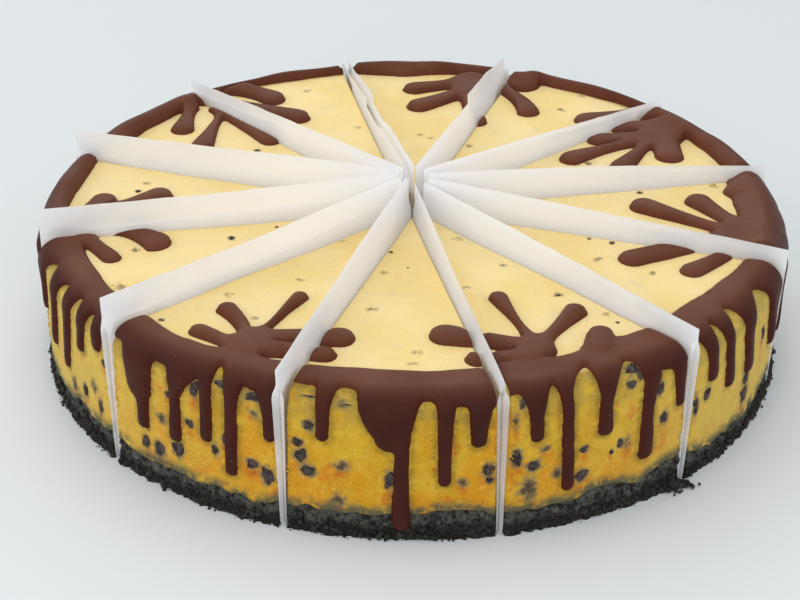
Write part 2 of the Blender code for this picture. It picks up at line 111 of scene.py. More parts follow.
# Arches between the drips: azimuth, distance of the top below the flat top's edge, half width
ARCHES = {
    "a": ((-104.7, 1.0, 2.5), (-99.4, 0.2, 2.0), (-87.9, 3.8, 1.9), (-83.6, 5.6, 1.5),
          (-78.9, 5.8, 1.0)),
    "b": ((-76.4, 3.6, 1.7), (-70.6, 1.6, 0.3), (-64.2, -3.0, 0.4), (-58.0, 0.4, 1.2),
          (-52.7, 6.9, 2.3)),
    "c": ((-46.0, 3.0, 0.9), (-41.1, 0.9, 0.7), (-35.8, -0.3, 0.9), (-27.9, 2.0, 0.9),
          (-17.0, 7.0, 0.5)),
    "k": ((-168.0, 7.0, 0.5), (-158.9, 3.2, 1.7), (-152.4, 3.5, 1.3), (-147.3, 2.8, 1.1),
          (-142.7, 4.0, 0.8)),
    "l": ((-135.4, 5.8, 0.8), (-127.2, 6.5, 2.9), (-120.4, 6.6, 0.4), (-118.1, 0.3, 0.4),
          (-112.4, 5.8, 2.4)),
}
DRIP_FLARE = 10.0
DRIP_BLEND = 1.6
# Wide tongues over two of the drips: azimuth, distance down and half width of both ends
TONGUES = {
    "a": ((-93.7, 1.0, 8.3), (-92.9, 14.8, 4.7)),
    "l": ((-131.6, 3.0, 5.9), (-131.4, 16.4, 4.7)),
}
# Slices whose side the front doesn't show, and ranges for their drips and arches
HIDDEN_SLICES = "defghij"
HIDDEN_DRIP_SEED = 7
HIDDEN_DRIP_SPACING = (5.0, 7.4)
HIDDEN_DRIP_TIPS = (13.0, 34.0)
HIDDEN_DRIP_HALVES = (1.8, 2.2)
HIDDEN_DRIP_LEANS = (-0.4, 0.4)
HIDDEN_ARCHES = (6.0, 9.5)
HIDDEN_ARCH_HALVES = (0.6, 2.0)

# Splashes seen from above: palm as (x, y, half width), then each finger as root, middle of its
# round tip, half width of its neck and of its tip, and how far it bows to its left if it
# isn't straight
SPLASHES = (
    ((-46.5, -88.5, 6.0), (
        ((-51.0, -87.5), (-60.4, -80.6), 2.6, 3.2),
        ((-47.0, -83.0), (-53.5, -68.2), 2.0, 3.3, -1.0),
        ((-43.0, -81.5), (-33.0, -60.8), 1.1, 2.7),
        ((-45.0, -84.4), (-20.6, -83.6), 3.5, 4.4),
        ((-43.5, -90.6), (-24.6, -92.8), 3.2, 3.4),
    )),
    ((34.6, -89.0, 5.5), (
        ((32.6, -82.5), (24.8, -60.4), 1.3, 3.2),
        ((36.6, -84.5), (46.6, -67.4), 2.0, 3.6),
        ((51.5, -88.0), (53.0, -80.4), 4.0, 4.0),
        ((33.0, -88.0), (9.2, -82.0), 3.2, 5.1),
        ((32.0, -93.6), (17.6, -94.6), 3.1, 3.4),
    )),
    ((102.0, -19.0, 7.0), (
        ((97.0, -21.0), (66.4, -35.0), 4.0, 4.5),
        ((99.0, -27.0), (83.6, -42.4), 2.8, 3.9, 0.8),
        ((98.0, -17.0), (73.8, 0.6), 2.6, 4.8),
        ((101.0, -12.0), (91.6, 4.4), 3.0, 4.5),
        ((106.0, 12.0), (105.0, 12.0), 4.2, 4.4),
    )),
    ((86.0, 57.0, 8.0), (
        ((92.0, 74.0), (86.6, 74.6), 4.4, 4.8),
        ((86.0, 74.0), (60.8, 68.0), 3.6, 4.5),
        ((83.0, 62.0), (72.2, 61.2), 4.0, 4.5),
        ((80.0, 53.0), (63.2, 51.0), 3.6, 4.0),
        ((79.0, 49.0), (53.2, 35.6), 2.0, 4.3, -1.2),
        ((80.0, 48.0), (69.4, 30.0), 2.4, 4.2),
        ((86.0, 52.0), (86.2, 39.0), 5.0, 5.0),
    )),
    ((21.0, 98.0, 8.5), (
        ((16.0, 99.0), (0.8, 94.6), 3.0, 4.3),
        ((19.0, 93.0), (2.2, 79.4), 3.3, 4.3, 0.8),
        ((20.5, 88.0), (22.2, 65.8), 3.6, 3.9),
        ((30.5, 97.0), (40.6, 75.0), 2.6, 4.3, 1.8),
        ((37.8, 107.0), (40.0, 99.6), 5.8, 6.2),
    )),
    ((-74.0, 86.0, 6.0), (
        ((-67.0, 91.0), (-50.4, 84.6), 3.2, 5.2, 1.6),
        ((-74.0, 82.0), (-40.4, 68.6), 3.4, 4.6),
        ((-78.0, 75.0), (-79.2, 57.2), 2.4, 4.3),
        ((-67.0, 70.0), (-71.2, 43.6), 1.8, 4.3),
        ((-69.0, 74.0), (-48.6, 49.4), 2.6, 4.0),
    )),
    ((-104.5, -17.0, 6.0), (
        ((-101.0, -24.0), (-91.2, -37.4), 2.8, 3.2),
        ((-100.0, -21.5), (-79.6, -26.9), 2.0, 5.6, 4.0),
        ((-105.0, -12.0), (-98.6, 1.0), 2.8, 4.5),
        ((-102.0, -12.0), (-81.4, 5.4), 2.6, 4.4),
    )),
)
SPLASH_BLEND = 2.2
SPLASH_RAISE = 0.7

# Chocolate chips at the side: azimuth, distance down from the flat top's edge, width, height
# and darkness; those under a half are only a stain in the cream
SIDE_CHIPS = (
    (-104.0, 13.0, 2.8, 3.0, 0.9), (-105.6, 19.0, 3.0, 2.4, 0.9), (-105.2, 23.2, 3.2, 3.9, 0.8),
    (-104.2, 28.0, 3.7, 3.2, 0.8), (-99.6, 25.0, 3.2, 2.8, 0.4), (-93.0, 28.5, 2.6, 5.2, 0.7),
    (-99.6, 5.5, 3.2, 1.6, 0.45), (-83.3, 29.5, 2.2, 2.2, 0.35), (-79.8, 26.0, 3.0, 3.6, 0.8),
    (-79.2, 29.4, 2.0, 2.0, 0.9), (-100.0, 36.5, 3.4, 3.4, 0.4), (-104.1, 4.5, 4.6, 0.5, 1.0),
    (-98.7, 5.6, 2.2, 0.4, 1.0), (-75.2, 6.2, 1.9, 2.8, 0.7), (-76.8, 23.3, 3.0, 4.8, 0.9),
    (-73.5, 26.3, 3.5, 3.2, 0.8), (-71.9, 21.5, 2.6, 1.8, 0.4), (-74.1, 34.2, 4.4, 5.6, 0.45),
    (-70.1, 30.0, 2.6, 3.2, 0.45), (-66.3, 33.0, 3.8, 3.2, 0.6), (-66.1, 24.4, 2.5, 2.1, 0.8),
    (-60.3, 25.8, 1.6, 2.8, 1.0), (-61.7, 27.9, 1.2, 1.5, 1.0), (-59.1, 26.0, 2.6, 3.0, 0.3),
    (-59.0, 7.4, 2.8, 2.3, 0.8), (-58.2, 3.2, 4.2, 2.6, 0.9), (-57.4, 5.2, 1.8, 3.4, 0.9),
    (-53.8, 12.3, 2.3, 3.6, 0.8), (-52.8, 22.5, 2.8, 3.8, 0.7), (-77.0, 11.5, 1.8, 3.6, 0.3),
    (-43.6, 22.5, 2.8, 3.6, 0.7), (-32.1, 28.3, 4.0, 3.6, 0.6), (-32.3, 33.5, 3.8, 5.6, 0.7),
    (-47.1, 24.0, 2.2, 6.5, 0.9), (-26.0, 19.0, 2.4, 4.0, 0.8),
    (-125.8, 15.3, 2.0, 2.2, 0.7), (-127.2, 24.3, 3.0, 2.8, 0.45), (-130.8, 35.3, 2.6, 3.8, 0.7),
    (-128.0, 35.4, 3.8, 4.4, 0.8), (-124.5, 32.6, 3.8, 4.8, 0.7), (-122.2, 22.3, 2.5, 2.4, 0.8),
    (-121.2, 10.5, 2.6, 3.8, 0.7), (-118.0, 28.0, 2.2, 3.4, 0.9), (-116.4, 23.5, 1.6, 3.0, 0.8),
    (-112.3, 29.5, 3.6, 2.6, 0.6), (-110.0, 32.4, 3.6, 4.8, 0.7), (-116.9, 6.2, 4.0, 1.8, 1.0),
    (-111.8, 7.4, 4.6, 2.4, 0.8), (-111.9, 13.0, 2.4, 2.4, 0.3), (-145.9, 32.5, 2.6, 4.0, 0.7),
    (-141.2, 33.5, 2.4, 4.4, 0.7), (-143.0, 28.5, 3.0, 4.0, 0.4), (-138.9, 17.0, 2.0, 2.2, 0.8),
    (-149.7, 34.5, 3.4, 3.8, 0.45), (-120.6, 8.6, 2.2, 2.4, 0.9),
)
# Chips in the top: place from above, size and darkness
TOP_CHIPS = (
    (-71.9, -74.0, 2.4, 0.8), (-53.8, -58.8, 3.4, 0.2), (-45.6, -71.9, 2.4, 0.6),
    (-33.8, -49.4, 3.4, 0.15), (-21.9, -23.1, 3.2, 0.2), (-9.2, -30.3, 1.6, 0.9),
    (-8.8, -44.0, 3.0, 0.3), (-1.5, -41.0, 0.9, 0.8), (-11.9, -67.0, 3.2, 0.4),
    (1.2, -91.3, 3.6, 0.25), (-0.4, -97.3, 3.0, 0.25), (6.2, -18.4, 1.4, 0.9),
    (13.8, -21.9, 3.6, 0.2), (26.9, -39.4, 2.8, 0.35), (42.5, -57.5, 3.2, 0.8),
    (58.5, -72.9, 1.6, 1.0), (55.6, -68.5, 3.0, 0.3), (13.0, -54.0, 3.0, 0.15),
    (61.3, -23.8, 2.8, 0.9), (54.4, -21.3, 1.8, 0.8), (36.3, -21.9, 3.2, 0.25),
    (56.3, -35.0, 3.8, 0.3), (71.6, -43.5, 2.8, 0.7), (-56.0, -22.5, 2.8, 0.8),
    (-42.5, -14.8, 1.4, 0.9), (-84.4, -31.5, 3.2, 0.7), (-86.3, -54.6, 4.2, 0.4),
    (-88.8, 9.5, 2.6, 0.8), (-86.9, 15.8, 3.2, 0.2), (-52.5, 41.4, 2.8, 0.8),
    (-38.0, 92.6, 3.4, 0.25), (-18.8, 61.0, 3.2, 0.2), (-6.9, 55.0, 1.6, 0.9),
    (2.5, 55.8, 2.8, 0.3), (6.3, 53.3, 2.6, 0.25), (18.4, 46.4, 3.0, 0.4),
    (52.5, 77.6, 3.2, 0.5), (60.6, 90.0, 2.8, 0.3), (58.5, 33.3, 3.2, 0.45),
    (73.5, 11.8, 2.4, 1.0), (98.0, 18.9, 3.0, 0.5), (87.5, -3.8, 1.4, 0.9),
)
# Chips in each hidden slice's side: how many, and ranges for azimuth past the slice's first
# cut, distance down, width, height and darkness
HIDDEN_CHIP_SEED = 31
HIDDEN_CHIPS = 10
HIDDEN_CHIP_RANGES = ((1.5, 28.5), (8.0, 36.0), (1.8, 4.0), (2.0, 4.8), (0.2, 1.0))
# Rings of a chip, as share of its half width and height over the skin, and waves of its outline
CHIP_RINGS = ((0.0, 0.26), (0.5, 0.24), (0.82, 0.14), (1.0, -0.12), (0.8, -0.6), (0.0, -0.7))
CHIP_WAVES = ((2, 0.18), (3, 0.18), (5, 0.12), (7, 0.07))
CHIP_CORNERS = 14
STAIN_DEPTH = 3.0
# The filling's side is deepest orange at this azimuth, and paler beyond the spread
BROWNEST_AZIMUTH = -92.0
BROWN_SPREAD = 44.0

# Crags of the crust's side: depth, size and seed
CRUST_LUMPS = ((0.7, 4.5, 11), (0.7, 1.7, 12), (0.4, 0.8, 13))
CRUMB_SEED = 5
CRUMBS = 3600
CRUMB_SMALLEST = 0.22
CRUMB_RANGE = 0.95
FALLEN_SHARE = 0.035
FALLEN_SIZE = 0.5
CRUMBS_FROM_CUT = 0.9
CUT_CRUMBS = 800
CUT_CRUMB_HEIGHTS = (10.5, 37.5)
# Clump of crumbs in front of a cut: place, grains, spread and turn
CLUMP_PLACE = (75.4, -90.6)
CLUMP_GRAINS = 120
CLUMP_SPREAD = (2.7, 1.3, 0.9)
CLUMP_TURN = 24.0

# Papers: radius and height of the outer top corner, height of the top edge at half the
# radius and at the middle of the cake, how far the two leaves stand apart at the top, how far
# behind their outer edge they meet, and how much lower each leaf is
PAPERS = (
    (119.0, 52.4, 56.3, 58.4, 0.6, 1.3, (0.0, 0.6)),
    (115.4, 50.0, 52.2, 56.2, 0.6, 1.3, (0.0, 1.5)),
    (118.3, 51.6, 53.8, 55.8, 0.5, 2.5, (1.2, 0.0)),
    (118.9, 49.6, 53.0, 56.2, 0.5, 2.5, (1.5, 0.0)),
    (118.8, 48.8, 53.8, 56.6, 0.5, 2.5, (1.5, 0.0)),
    (118.9, 48.6, 53.0, 56.8, 0.5, 2.5, (1.2, 0.0)),
    (112.0, 52.8, 55.2, 57.2, 0.9, 2.5, (4.0, 0.0)),
    (118.8, 48.8, 53.4, 57.0, 2.2, 2.5, (0.0, 1.5)),
    (119.0, 51.1, 54.2, 57.2, 0.5, 3.0, (0.0, 3.5)),
    (118.4, 54.5, 55.8, 57.4, 0.5, 5.0, (0.0, 8.5)),
    (117.4, 55.1, 55.6, 57.6, 0.5, 5.0, (0.0, 8.5)),
    (118.5, 55.0, 55.0, 57.4, 0.5, 5.0, (0.0, 8.5)),
)
# Kinks above the cream: share of the way out where each starts and ends, and the shift
PAPER_KINKS = {
    6: ((0.56, 0.62, 2.6), (0.80, 0.98, -1.6)),
    7: ((0.30, 0.38, 1.2), (0.55, 0.60, -1.6), (0.78, 0.84, 1.4)),
    3: ((0.6, 0.9, 0.8),),
}
PAPER_FOOT_RADIUS = 116.6
PAPER_INNER_RADIUS = 5.0
PAPER_FOLD_Z = 0.35
PAPER_FOLD_RISE = 1.6
PAPER_CREAM_Z = 45.5
PAPER_SPACE = 0.25

# Camera, worked out from the photograph's cuts and rim
CAMERA_PLACE = (-3.83, -552.96, 320.39)
CAMERA_ELEVATION = 29.24
CAMERA_ROLL = 0.527
CAMERA_LENS = 87.08
CAMERA_SENSOR = 36.0

# Area lights, in metres and watts: place, size, power and colour, each aimed at one spot
LIGHTS = {
    "overhead": ((-0.2, 0.1, 1.5), (1.5, 1.3), 5.5, (1.0, 0.99, 0.97)),
    "front": ((-0.2, -1.4, 0.8), (1.4, 0.9), 8.0, (1.0, 0.99, 0.97)),
    "back": ((-0.4, 1.5, 1.0), (2.0, 1.0), 8.0, (1.0, 0.995, 0.98)),
    "left": ((-1.5, -0.1, 0.8), (1.2, 0.9), 5.5, (1.0, 0.995, 0.98)),
    "right": ((1.5, -0.1, 0.8), (1.2, 0.9), 4.0, (1.0, 0.995, 0.98)),
}
LIGHT_TARGET = (0.0, 0.0, 0.03)
SKY_COLOUR = (0.93, 0.97, 1.0, 1.0)
SKY_STRENGTH = 0.56
FLOOR_SIZE = 6.0
FLOOR_MIDDLE = (0.0, 1.0, 0.0)


def between(low, high, part):
    return low + (high - low) * part


def smooth_step(low, high, value):
    part = np.clip((value - low) / (high - low), 0.0, 1.0)
    return part * part * (3.0 - 2.0 * part)


def smooth_max(a, b, blend):
    """Larger of two depths, with a fillet of the blend's size where they meet."""
    near = np.maximum(blend - np.abs(a - b), 0.0) / blend
    return np.maximum(a, b) + near * near * blend / 4.0


def lattice_value(x, y, z, seed):
    mixed = (x * 374761393 + y * 668265263 + z * 1103515245 + seed * 974634777) & 0xFFFFFFFF
    mixed = ((mixed ^ (mixed >> 13)) * 1274126177) & 0xFFFFFFFF
    return ((mixed ^ (mixed >> 16)) & 0xFFFF) / 32767.5 - 1.0


def bumps(points, size, seed):
    """Smooth random values from -1 to 1 at points in millimetres, with bumps of that size."""
    place = np.asarray(points, float) / size
    corner = np.floor(place).astype(np.int64)
    part = place - corner
    part = part * part * (3.0 - 2.0 * part)
    total = 0.0
    for dx in (0, 1):
        for dy in (0, 1):
            for dz in (0, 1):
                weight = 1.0
                for axis, step in enumerate((dx, dy, dz)):
                    weight = weight * (part[..., axis] if step else 1.0 - part[..., axis])
                value = lattice_value(
                    corner[..., 0] + dx, corner[..., 1] + dy, corner[..., 2] + dz, seed)
                total = total + weight * value
    return total


def on_cylinder(radius, azimuth, z):
    """Points from radius, azimuth and height, as arrays of one shape."""
    turn = np.radians(azimuth)
    radius, turn, z = np.broadcast_arrays(radius, turn, z)
    return np.stack((radius * np.cos(turn), radius * np.sin(turn), z), axis=-1)


def half_gap(z):
    """Half the width of a cut at a height."""
    return between(HALF_GAP_LOW, HALF_GAP_HIGH, np.asarray(z) / TOP_Z)


def cut_azimuth(index):
    """Azimuth of a slice's first cut, from -180 to 180."""
    azimuth = FIRST_CUT + SLICE_ANGLE * index
    return azimuth if azimuth <= 180.0 else azimuth - 360.0


def gap_angle(radius, z):
    """Angle that half a cut takes up at a radius and height."""
    ratio = np.minimum(half_gap(z) / radius, math.sin(HALF_SLICE))
    return np.degrees(np.arcsin(ratio))


def slice_azimuth(index, across, radius, z):
    """Azimuth inside a slice, with across running from 0 at its first cut to 1."""
    margin = gap_angle(radius, z)
    start = cut_azimuth(index) + margin
    end = cut_azimuth(index) + SLICE_ANGLE - margin
    return between(start, end, across)


def tip_radius(z):
    """Radius at which a slice's two cut faces meet."""
    return half_gap(z) / math.sin(HALF_SLICE) + 0.25


def srgb(red, green, blue):
    """Linear colour of an 8-bit screen colour."""
    linear = []
    for value in (red, green, blue):
        value = value / 255.0
        linear.append(value / 12.92 if value <= 0.04045 else ((value + 0.055) / 1.055) ** 2.4)
    return (*linear, 1.0)


def add_piece(name, points, face_groups, material):
    """Smooth mesh piece from points in millimetres and arrays of faces with equal corners."""
    mesh = bpy.data.meshes.new(name)
    points = np.asarray(points, np.float32).reshape(-1, 3) * MM
    corners = np.concatenate([np.asarray(group).ravel() for group in face_groups])
    sizes = np.concatenate([np.full(len(g), np.asarray(g).shape[1]) for g in face_groups])
    starts = np.concatenate(([0], np.cumsum(sizes)[:-1]))
    mesh.vertices.add(len(points))
    mesh.vertices.foreach_set("co", points.ravel())
    mesh.loops.add(len(corners))
    mesh.loops.foreach_set("vertex_index", corners.astype(np.int32))
    mesh.polygons.add(len(sizes))
    mesh.polygons.foreach_set("loop_start", starts.astype(np.int32))
    mesh.polygons.foreach_set("use_smooth", np.ones(len(sizes), bool))
    mesh.update(calc_edges=True)
    mesh.validate()
    mesh.materials.append(material)
    piece = bpy.data.objects.new(name, mesh)
    bpy.context.scene.collection.objects.link(piece)
    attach(piece, "root")
    return piece


def set_values(piece, name, values):
    """A number for each point of a piece, which its material reads by name."""
    layer = piece.data.attributes.new(name, "FLOAT", "POINT")
    layer.data.foreach_set("value", np.asarray(values, np.float32).ravel())


def grid_quads(rows, columns, closed=False):
    """Quads of a grid of points; a closed grid also joins its last column to its first."""
    numbers = np.arange(rows * columns).reshape(rows, columns)
    following = np.roll(numbers, -1, axis=1)
    if not closed:
        numbers, following = numbers[:, :-1], following[:, :-1]
    quads = np.stack((numbers[:-1], following[:-1], following[1:], numbers[1:]), axis=-1)
    return quads.reshape(-1, 4)


def slice_faces(rows, columns, inward):
    """Faces of a slice: a closed grid of outlines from cut to cut, and a cap at both cuts."""
    caps = np.arange(rows * columns).reshape(rows, columns)
    groups = [grid_quads(rows, columns, closed=True), caps[:1, ::-1], caps[-1:]]
    return [group[:, ::-1] for group in groups] if inward else groups


def push_outward(wall, push):
    """Move points away from the cake's axis, in place."""
    away = wall[..., :2] / np.linalg.norm(wall[..., :2], axis=-1, keepdims=True)
    wall[..., :2] += away * push[..., None]


# Materials

class Look:
    """A Principled material with helpers for its nodes; places are in millimetres."""

    def __init__(self, name, roughness, **values):
        self.material = bpy.data.materials.new(name)
        self.material.use_nodes = True
        self.tree = self.material.node_tree
        self.shader = self.tree.nodes["Principled BSDF"]
        self.shader.inputs["Roughness"].default_value = roughness
        for socket, value in values.items():
            self.shader.inputs[socket.replace("_", " ")].default_value = value
        where = self.tree.nodes.new("ShaderNodeTexCoord")
        scale = self.tree.nodes.new("ShaderNodeMapping")
        scale.inputs["Scale"].default_value = (1.0 / MM,) * 3
        self.tree.links.new(where.outputs["Object"], scale.inputs["Vector"])
        self.place = scale.outputs["Vector"]

    def link(self, start, end):
        self.tree.links.new(start, end)

    def noise(self, size, detail=3.0, roughness=0.55):
        node = self.tree.nodes.new("ShaderNodeTexNoise")
        node.inputs["Scale"].default_value = 1.0 / size
        node.inputs["Detail"].default_value = detail
        node.inputs["Roughness"].default_value = roughness
        self.link(self.place, node.inputs["Vector"])
        return node.outputs["Fac"]

    def cells(self, size):
        """Distance from the nearest of scattered points, in sizes."""
        node = self.tree.nodes.new("ShaderNodeTexVoronoi")
        node.inputs["Scale"].default_value = 1.0 / size
        self.link(self.place, node.inputs["Vector"])
        return node.outputs["Distance"]

    def value(self, name):
        node = self.tree.nodes.new("ShaderNodeAttribute")
        node.attribute_name = name
        return node.outputs["Fac"]

    def ramp(self, source, low, high, start=0.0, end=1.0):
        """source, from low to high, as a smooth number from start to end."""
        node = self.tree.nodes.new("ShaderNodeMapRange")
        node.interpolation_type = "SMOOTHSTEP"
        node.inputs["From Min"].default_value = low
        node.inputs["From Max"].default_value = high
        node.inputs["To Min"].default_value = start
        node.inputs["To Max"].default_value = end
        self.link(source, node.inputs["Value"])
        return node.outputs["Result"]

    def patches(self, size, detail, low, high):
        """Soft patches of noise, 0 below low and 1 above high."""
        return self.ramp(self.noise(size, detail), low, high)

    def maths(self, kind, a, b):
        node = self.tree.nodes.new("ShaderNodeMath")
        node.operation = kind
        for socket, source in zip(node.inputs, (a, b)):
            if isinstance(source, (int, float)):
                socket.default_value = source
            else:
                self.link(source, socket)
        return node.outputs["Value"]

    def both(self, a, b):
        return self.maths("MULTIPLY", a, b)

    def mix(self, share, first, second):
        node = self.tree.nodes.new("ShaderNodeMix")
        node.data_type = "RGBA"
        for name, source in (("Factor", share), ("A", first), ("B", second)):
            socket = [s for s in node.inputs if s.name == name and s.enabled][0]
            if isinstance(source, (int, float, tuple)):
                socket.default_value = source
            else:
                self.link(source, socket)
        return [s for s in node.outputs if s.enabled][0]

    def colour(self, source):
        self.link(source, self.shader.inputs["Base Color"])

    def rough(self, source):
        self.link(source, self.shader.inputs["Roughness"])

    def bump(self, *layers):
        """Bump layers as (height source, depth in millimetres)."""
        normal = None
        for source, depth in layers:
            node = self.tree.nodes.new("ShaderNodeBump")
            node.inputs["Strength"].default_value = 1.0
            node.inputs["Distance"].default_value = depth * MM
            self.link(source, node.inputs["Height"])
            if normal is not None:
                self.link(normal, node.inputs["Normal"])
            normal = node.outputs["Normal"]
        self.link(normal, self.shader.inputs["Normal"])


def filling_look():
    """Pale cream on top and golden at the side, browned, streaked and stained by values, with
    painted shade below the coat and along its edges.
    """
    look = Look("baked_filling", 0.62, Subsurface_Weight=0.12, Subsurface_Scale=0.004,
                Specular_IOR_Level=0.16)
    look.shader.inputs["Subsurface Radius"].default_value = (1.0, 0.7, 0.35)
    cream = look.mix(look.patches(26.0, 2.0, 0.38, 0.62), srgb(246, 221, 160), srgb(243, 214, 142))
    for share, strength, colour in (
            (look.patches(1.1, 3.0, 0.60, 0.70), 0.20, (232, 190, 96)),
            (look.patches(9.0, 2.5, 0.58, 0.74), 0.22, (200, 200, 184))):
        cream = look.mix(look.both(share, strength), cream, srgb(*colour))
    golden = look.mix(look.patches(6.0, 4.0, 0.35, 0.65), srgb(214, 172, 50), srgb(202, 154, 30))
    low = look.both(look.value("low"), look.patches(11.0, 3.5, 0.34, 0.60))
    streak = look.both(look.value("streak"), look.patches(2.6, 3.0, 0.3, 0.6))
    # Painted shade: the side turns grey-green near its top, below the coat's arches
    shade = look.both(look.value("shade"), look.patches(4.0, 3.0, 0.3, 0.6))
    # Painted shadow: darker along the edges of the coat's drips and arches
    beside = look.both(look.value("beside"), look.patches(3.0, 3.0, 0.25, 0.6))
    for share, strength, colour in (
            (look.patches(15.0, 3.0, 0.50, 0.68), 0.7, (214, 144, 20)),
            (look.patches(7.0, 4.0, 0.58, 0.70), 0.7, (204, 100, 16)),
            (low, 0.6, (212, 138, 12)),
            (look.value("aside"), 0.6, (214, 190, 102)),
            (streak, 1.0, (190, 88, 20)),
            (look.patches(1.6, 4.0, 0.54, 0.74), 0.35, (232, 202, 104)),
            (shade, 0.6, (150, 132, 70)),
            (beside, 0.6, (112, 96, 44)),
            (look.patches(0.9, 2.0, 0.36, 0.25), 0.6, (110, 74, 20))):
        golden = look.mix(look.both(share, strength), golden, srgb(*colour))
    body = look.mix(look.value("top"), golden, cream)
    ragged = look.ramp(look.noise(1.8, 4.0), 0.30, 0.62, 0.35, 0.0)
    stain = look.maths("SUBTRACT", look.value("stain"), ragged)
    body = look.mix(look.ramp(stain, 0.05, 0.45, 0.0, 0.75), body, srgb(140, 124, 82))
    body = look.mix(look.ramp(stain, 0.35, 0.75, 0.0, 0.95), body, srgb(74, 64, 54))
    foot = look.both(look.value("foot"), look.patches(3.5, 4.0, 0.30, 0.55))
    body = look.mix(look.maths("MINIMUM", foot, 0.92), body, srgb(84, 88, 68))
    look.colour(body)
    look.bump((look.noise(1.3, 4.0), 0.4), (look.noise(0.6, 2.0), 0.15), (look.noise(6.0, 2.0), 0.5))
    return look.material


def chip_look():
    look = Look("chocolate_chip", 0.7, Specular_IOR_Level=0.2)
    look.colour(look.mix(look.patches(1.4, 3.0, 0.35, 0.65), srgb(44, 33, 34), srgb(82, 72, 66)))
    look.bump((look.noise(0.9, 3.0), 0.22))
    return look.material


def crust_look():
    look = Look("crumb_crust", 0.9, Specular_IOR_Level=0.3)
    grain = look.noise(0.8, 5.0, 0.65)
    dark = look.mix(look.ramp(grain, 0.35, 0.7), srgb(16, 13, 12), srgb(54, 48, 42))
    pale = look.both(look.value("brow"), look.patches(2.2, 4.0, 0.36, 0.58))
    grey = look.mix(look.ramp(grain, 0.3, 0.7), srgb(62, 64, 60), srgb(106, 108, 101))
    look.colour(look.mix(look.both(pale, 0.9), dark, grey))
    look.bump((grain, 0.7), (look.noise(2.4, 3.0), 1.0))
    return look.material


def crumb_look():
    look = Look("loose_crumb", 0.85)
    look.colour(look.mix(look.patches(1.6, 2.0, 0.35, 0.65), srgb(20, 16, 15), srgb(50, 45, 40)))
    look.bump((look.noise(0.5, 2.0), 0.15))
    return look.material


def ganache_look():
    """Satin chocolate: redder and darker at the side as painted shade, reddest where it thins at its
    edge.
    """
    look = Look("ganache", 0.5, Specular_IOR_Level=0.07)
    tone = look.patches(16.0, 3.0, 0.35, 0.65)
    body = look.mix(tone, srgb(98, 57, 40), srgb(106, 65, 48))
    # Darker, redder copy of the chocolate for the side: painted shade
    side = look.mix(tone, srgb(72, 34, 27), srgb(63, 31, 26))
    body = look.mix(look.value("side"), body, side)
    body = look.mix(look.both(look.value("edge"), 0.55), body, srgb(88, 34, 18))
    # Painted highlight: pale specks where tiny bubbles would glint
    painted_bubble_glint = look.ramp(look.cells(7.0), 0.035, 0.02)
    body = look.mix(look.both(painted_bubble_glint, 0.5), body, srgb(176, 128, 104))
    look.colour(body)
    look.rough(look.ramp(look.noise(4.0, 3.0), 0.3, 0.7, 0.42, 0.52))
    look.bump((look.noise(6.0, 2.0), 0.15), (look.noise(0.5, 2.0), 0.012))
    return look.material


def paper_look():
    """White paper that lets half of the light through."""
    look = Look("baking_paper", 0.6, Specular_IOR_Level=0.25)
    body = look.mix(look.patches(30.0, 2.0, 0.35, 0.65), srgb(252, 252, 254), srgb(249, 249, 251))
    # Painted shade: the paper turns cool grey in patches towards the rim
    painted_rim_shade = look.both(look.value("rim"), look.patches(12.0, 2.0, 0.42, 0.66))
    look.colour(look.mix(look.both(painted_rim_shade, 0.16), body, srgb(196, 202, 212)))
    look.bump((look.noise(1.2, 3.0), 0.03), (look.noise(11.0, 2.0), 0.25))
    glow = look.tree.nodes.new("ShaderNodeBsdfTranslucent")
    glow.inputs["Color"].default_value = srgb(253, 252, 252)
    halves = look.tree.nodes.new("ShaderNodeMixShader")
    halves.inputs["Fac"].default_value = 0.5
    look.link(look.shader.outputs["BSDF"], halves.inputs[1])
    look.link(glow.outputs["BSDF"], halves.inputs[2])
    out = look.tree.nodes["Material Output"]
    look.link(halves.outputs["Shader"], out.inputs["Surface"])
    return look.material


def floor_look():
    """Pale floor, a little darker far behind the cake, as painted shade."""
    look = Look("pale_floor", 0.8)
    axes = look.tree.nodes.new("ShaderNodeSeparateXYZ")
    look.link(look.place, axes.inputs["Vector"])
    # Painted shade: the floor darkens beyond the cake
    far = look.ramp(axes.outputs["Y"], -1150.0, -700.0)
    look.colour(look.mix(far, srgb(224, 228, 230), srgb(214, 219, 221)))
    return look.material


# Filling and crust

def crust_edge(azimuth):
    """Ragged height of the crust where it shows at the side."""
    wide = on_cylinder(CAKE_RADIUS, azimuth, 0.0)
    return 8.2 + 2.0 * bumps(wide, 11.0, 3) + 0.9 * bumps(wide, 3.2, 4)


def filling_outline():
    """Shares of the way out over the top, angles round the rim, and shares down the side."""
    top = np.linspace(0.0, 1.0, 104) ** 0.9
    angle = np.radians(np.linspace(0.0, 90.0, 9))
    side = np.linspace(0.0, 1.0, 50)
    return top, angle, side


